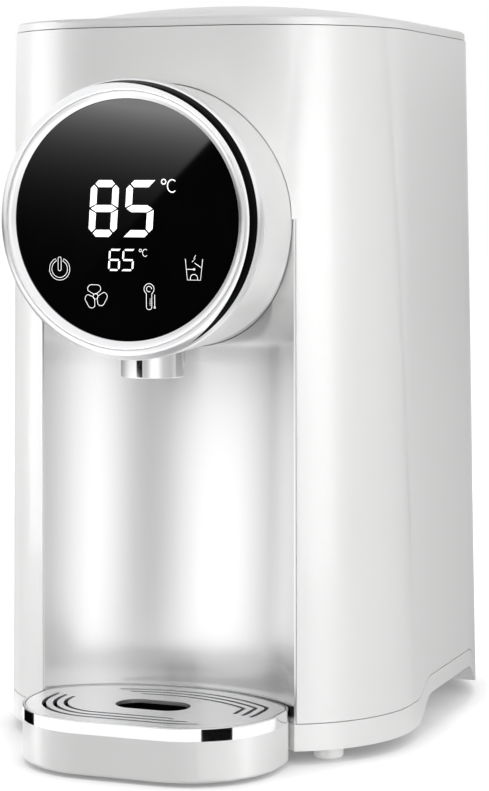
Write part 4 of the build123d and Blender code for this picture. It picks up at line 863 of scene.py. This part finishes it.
def add_tent():
    """Round wall of lit cloth with a flat skirt."""
    drawing = bmesh.new()
    bmesh.ops.create_circle(drawing, segments=TENT_STEPS, radius=TENT_SKIRT)
    skirt = bmesh.ops.extrude_edge_only(drawing, edges=drawing.edges[:])
    widening = TENT_RADIUS / TENT_SKIRT
    bmesh.ops.scale(drawing, verts=parts_of(skirt, bmesh.types.BMVert), vec=(widening, widening, 1))
    wall = bmesh.ops.extrude_edge_only(drawing, edges=parts_of(skirt, bmesh.types.BMEdge))
    bmesh.ops.translate(drawing, verts=parts_of(wall, bmesh.types.BMVert), vec=(0, 0, TENT_HEIGHT))
    bmesh.ops.translate(drawing, verts=drawing.verts[:], vec=(0, TENT_CENTRE_Y, TENT_LIFT))
    return reflections_only(add_stage_piece("tent", drawing, tent_finish()))


tent = add_tent()
print("tent faces", len(tent.data.polygons))

# %% [markdown]
# ## A dark card for the glass
# A black glass mirrors whatever stands opposite the camera. A black card there keeps it black, and a soft
# bright corner on the card, cut off along a slant, gives the glass its sheen.

# %% Card
CARD_Y = -0.60
CARD_LOW = (-0.300, 0.135)
CARD_HIGH = (-0.085, 0.345)
SHEEN_PEAK = 4.6
SHEEN_TOP = 0.284
SHEEN_FADE = 18 * MM
SHEEN_LEAN = 0.15
SHEEN_EDGE = 0.429
SHEEN_SOFT = 3 * MM


def card_finish():
    """Black with a sheen that fades downwards, left of a slanting edge."""
    material, wire = start_glow("card")
    across, _, up = axes(wire)
    fade = wire.math("POWER", math.e, (up + SHEEN_LEAN * across - SHEEN_TOP) * (1 / SHEEN_FADE))
    side_range = {"From Min": SHEEN_EDGE, "From Max": SHEEN_EDGE + SHEEN_SOFT}
    side = wire.node("MapRange", inputs={"Value": up - across, **side_range})
    set_glow(wire, blend_colours(wire, fade * side, BLACK, FULL_WHITE), SHEEN_PEAK)
    return material


def add_card():
    """Upright card in front of the display."""
    (x0, z0), (x1, z1) = CARD_LOW, CARD_HIGH
    drawing = bmesh.new()
    corners = [(x0, z0), (x1, z0), (x1, z1), (x0, z1)]
    drawing.faces.new([drawing.verts.new((x, CARD_Y, z)) for x, z in corners])
    return reflections_only(add_stage_piece("card", drawing, card_finish()))


add_card()
print("card sheen", SHEEN_PEAK)

# %% [markdown]
# ## Black strips for the tray
# The chrome band of the tray shows two sharp black marks at its round corners. Each is the mirror image of a
# low black strip that stands beside the tray, close to the floor. The strips' ends are given in millimetres
# from the front corners of the tray.

# %% Black strips
STRIP_FOOT = 2 * MM
STRIP_HEIGHT = 15.5 * MM
STRIP_LEFT = [(-45, 15.5), (-28, 49.5)]
STRIP_RIGHT = [(16, -53), (52, -5.5)]
STRIP_TONES = [(0, 0, 0), (0.004, 0.004, 0.004)]
STRIP_GRAIN = 10 * MM


def strip_finish():
    """Black card."""
    material, wire, shader = start_finish("black_card", Roughness=1.0, Specular_IOR_Level=0.0)
    wire.feed(shader.inputs["Base Color"], blend_colours(wire, noise(wire, STRIP_GRAIN), *STRIP_TONES))
    return material


def add_strips():
    """Low black cards beside the tray."""
    low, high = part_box("tray_body")
    drawing = bmesh.new()
    for corner_x, ends in ((high.x, STRIP_RIGHT), (low.x, STRIP_LEFT)):
        first, last = [(corner_x + x * MM, low.y + y * MM) for x, y in ends]
        foot = [drawing.verts.new((*end, STRIP_FOOT)) for end in (first, last)]
        top = [drawing.verts.new((*end, STRIP_HEIGHT)) for end in (last, first)]
        drawing.faces.new(foot + top)
    return reflections_only(add_stage_piece("strips", drawing, strip_finish()))


strips = add_strips()
print("black strips", len(strips.data.polygons))

# %% [markdown]
# ## Lamps
# White plastic on white needs light with a direction. Tall soft boxes stand to the right and the left of the
# front, so that the round corners facing them are brightest and the flat sides fall off. One hangs above the
# lid and one lights the back. They are kept out of the mirrors, because the tent already stands for them
# there. Four more lamps do the opposite: they only give the round corners their soft upright highlights, two
# on the large white mouldings and two on the tray.

# %% Soft boxes
AIM = Vector((0, -0.06, 0.10))


def soft_box(name, place, wide, high, power):
    """Area light at a place, turned to the object and kept out of mirrors."""
    lamp = bpy.data.lights.new(name, "AREA")
    lamp.shape = "RECTANGLE"
    lamp.size = wide
    lamp.size_y = high
    lamp.energy = power
    box = bpy.data.objects.new(name, lamp)
    bpy.context.collection.objects.link(box)
    box.location = place
    box.rotation_euler = (AIM - box.location).to_track_quat("-Z", "Y").to_euler()
    box.visible_glossy = False
    return box


def around(turn, distance, height):
    """Place at an angle from the front, as seen from above."""
    angle = math.radians(turn)
    return Vector((distance * math.sin(angle), -distance * math.cos(angle), height))


soft_box("soft_box_right", around(51, 0.72, 0.03), wide=0.3, high=1.4, power=5.5)
soft_box("soft_box_left", around(-72, 0.90, 0.03), wide=0.3, high=1.4, power=7.5)
soft_box("soft_box_top", around(0, 0.1, 1.7), wide=0.9, high=0.9, power=6.5)
soft_box("soft_box_back", around(180, 1.1, 0.30), wide=0.25, high=1.2, power=5.5)

# %% Highlights
SHELL = ["casing", "base_housing", "lid_cover", "latch_lever", "head_housing"]
TRAY = ["tray_body"]


def highlight_box(name, place, wide, high, power, nodes):
    """Soft box that shows only as a highlight, and only on some solids."""
    box = soft_box(name, place, wide, high, power)
    box.visible_glossy = True
    box.visible_diffuse = False
    lit_solids = bpy.data.collections.new(name + "_solids")
    for node in nodes:
        lit_solids.objects.link(frame["nodes"][node])
    box.light_linking.receiver_collection = lit_solids
    return box


highlight_box("highlight_right", (0.512, -0.426, 0.10), wide=0.28, high=1.2, power=6.2, nodes=SHELL)
highlight_box("highlight_left", (-0.66, -0.20, 0.10), wide=0.42, high=1.2, power=8.6, nodes=SHELL)
highlight_box("tray_highlight_right", (0.60, -0.120, 0.05), wide=0.10, high=0.40, power=2.6, nodes=TRAY)
highlight_box("tray_highlight_left", (-0.60, -0.150, 0.05), wide=0.20, high=0.40, power=4.6, nodes=TRAY)
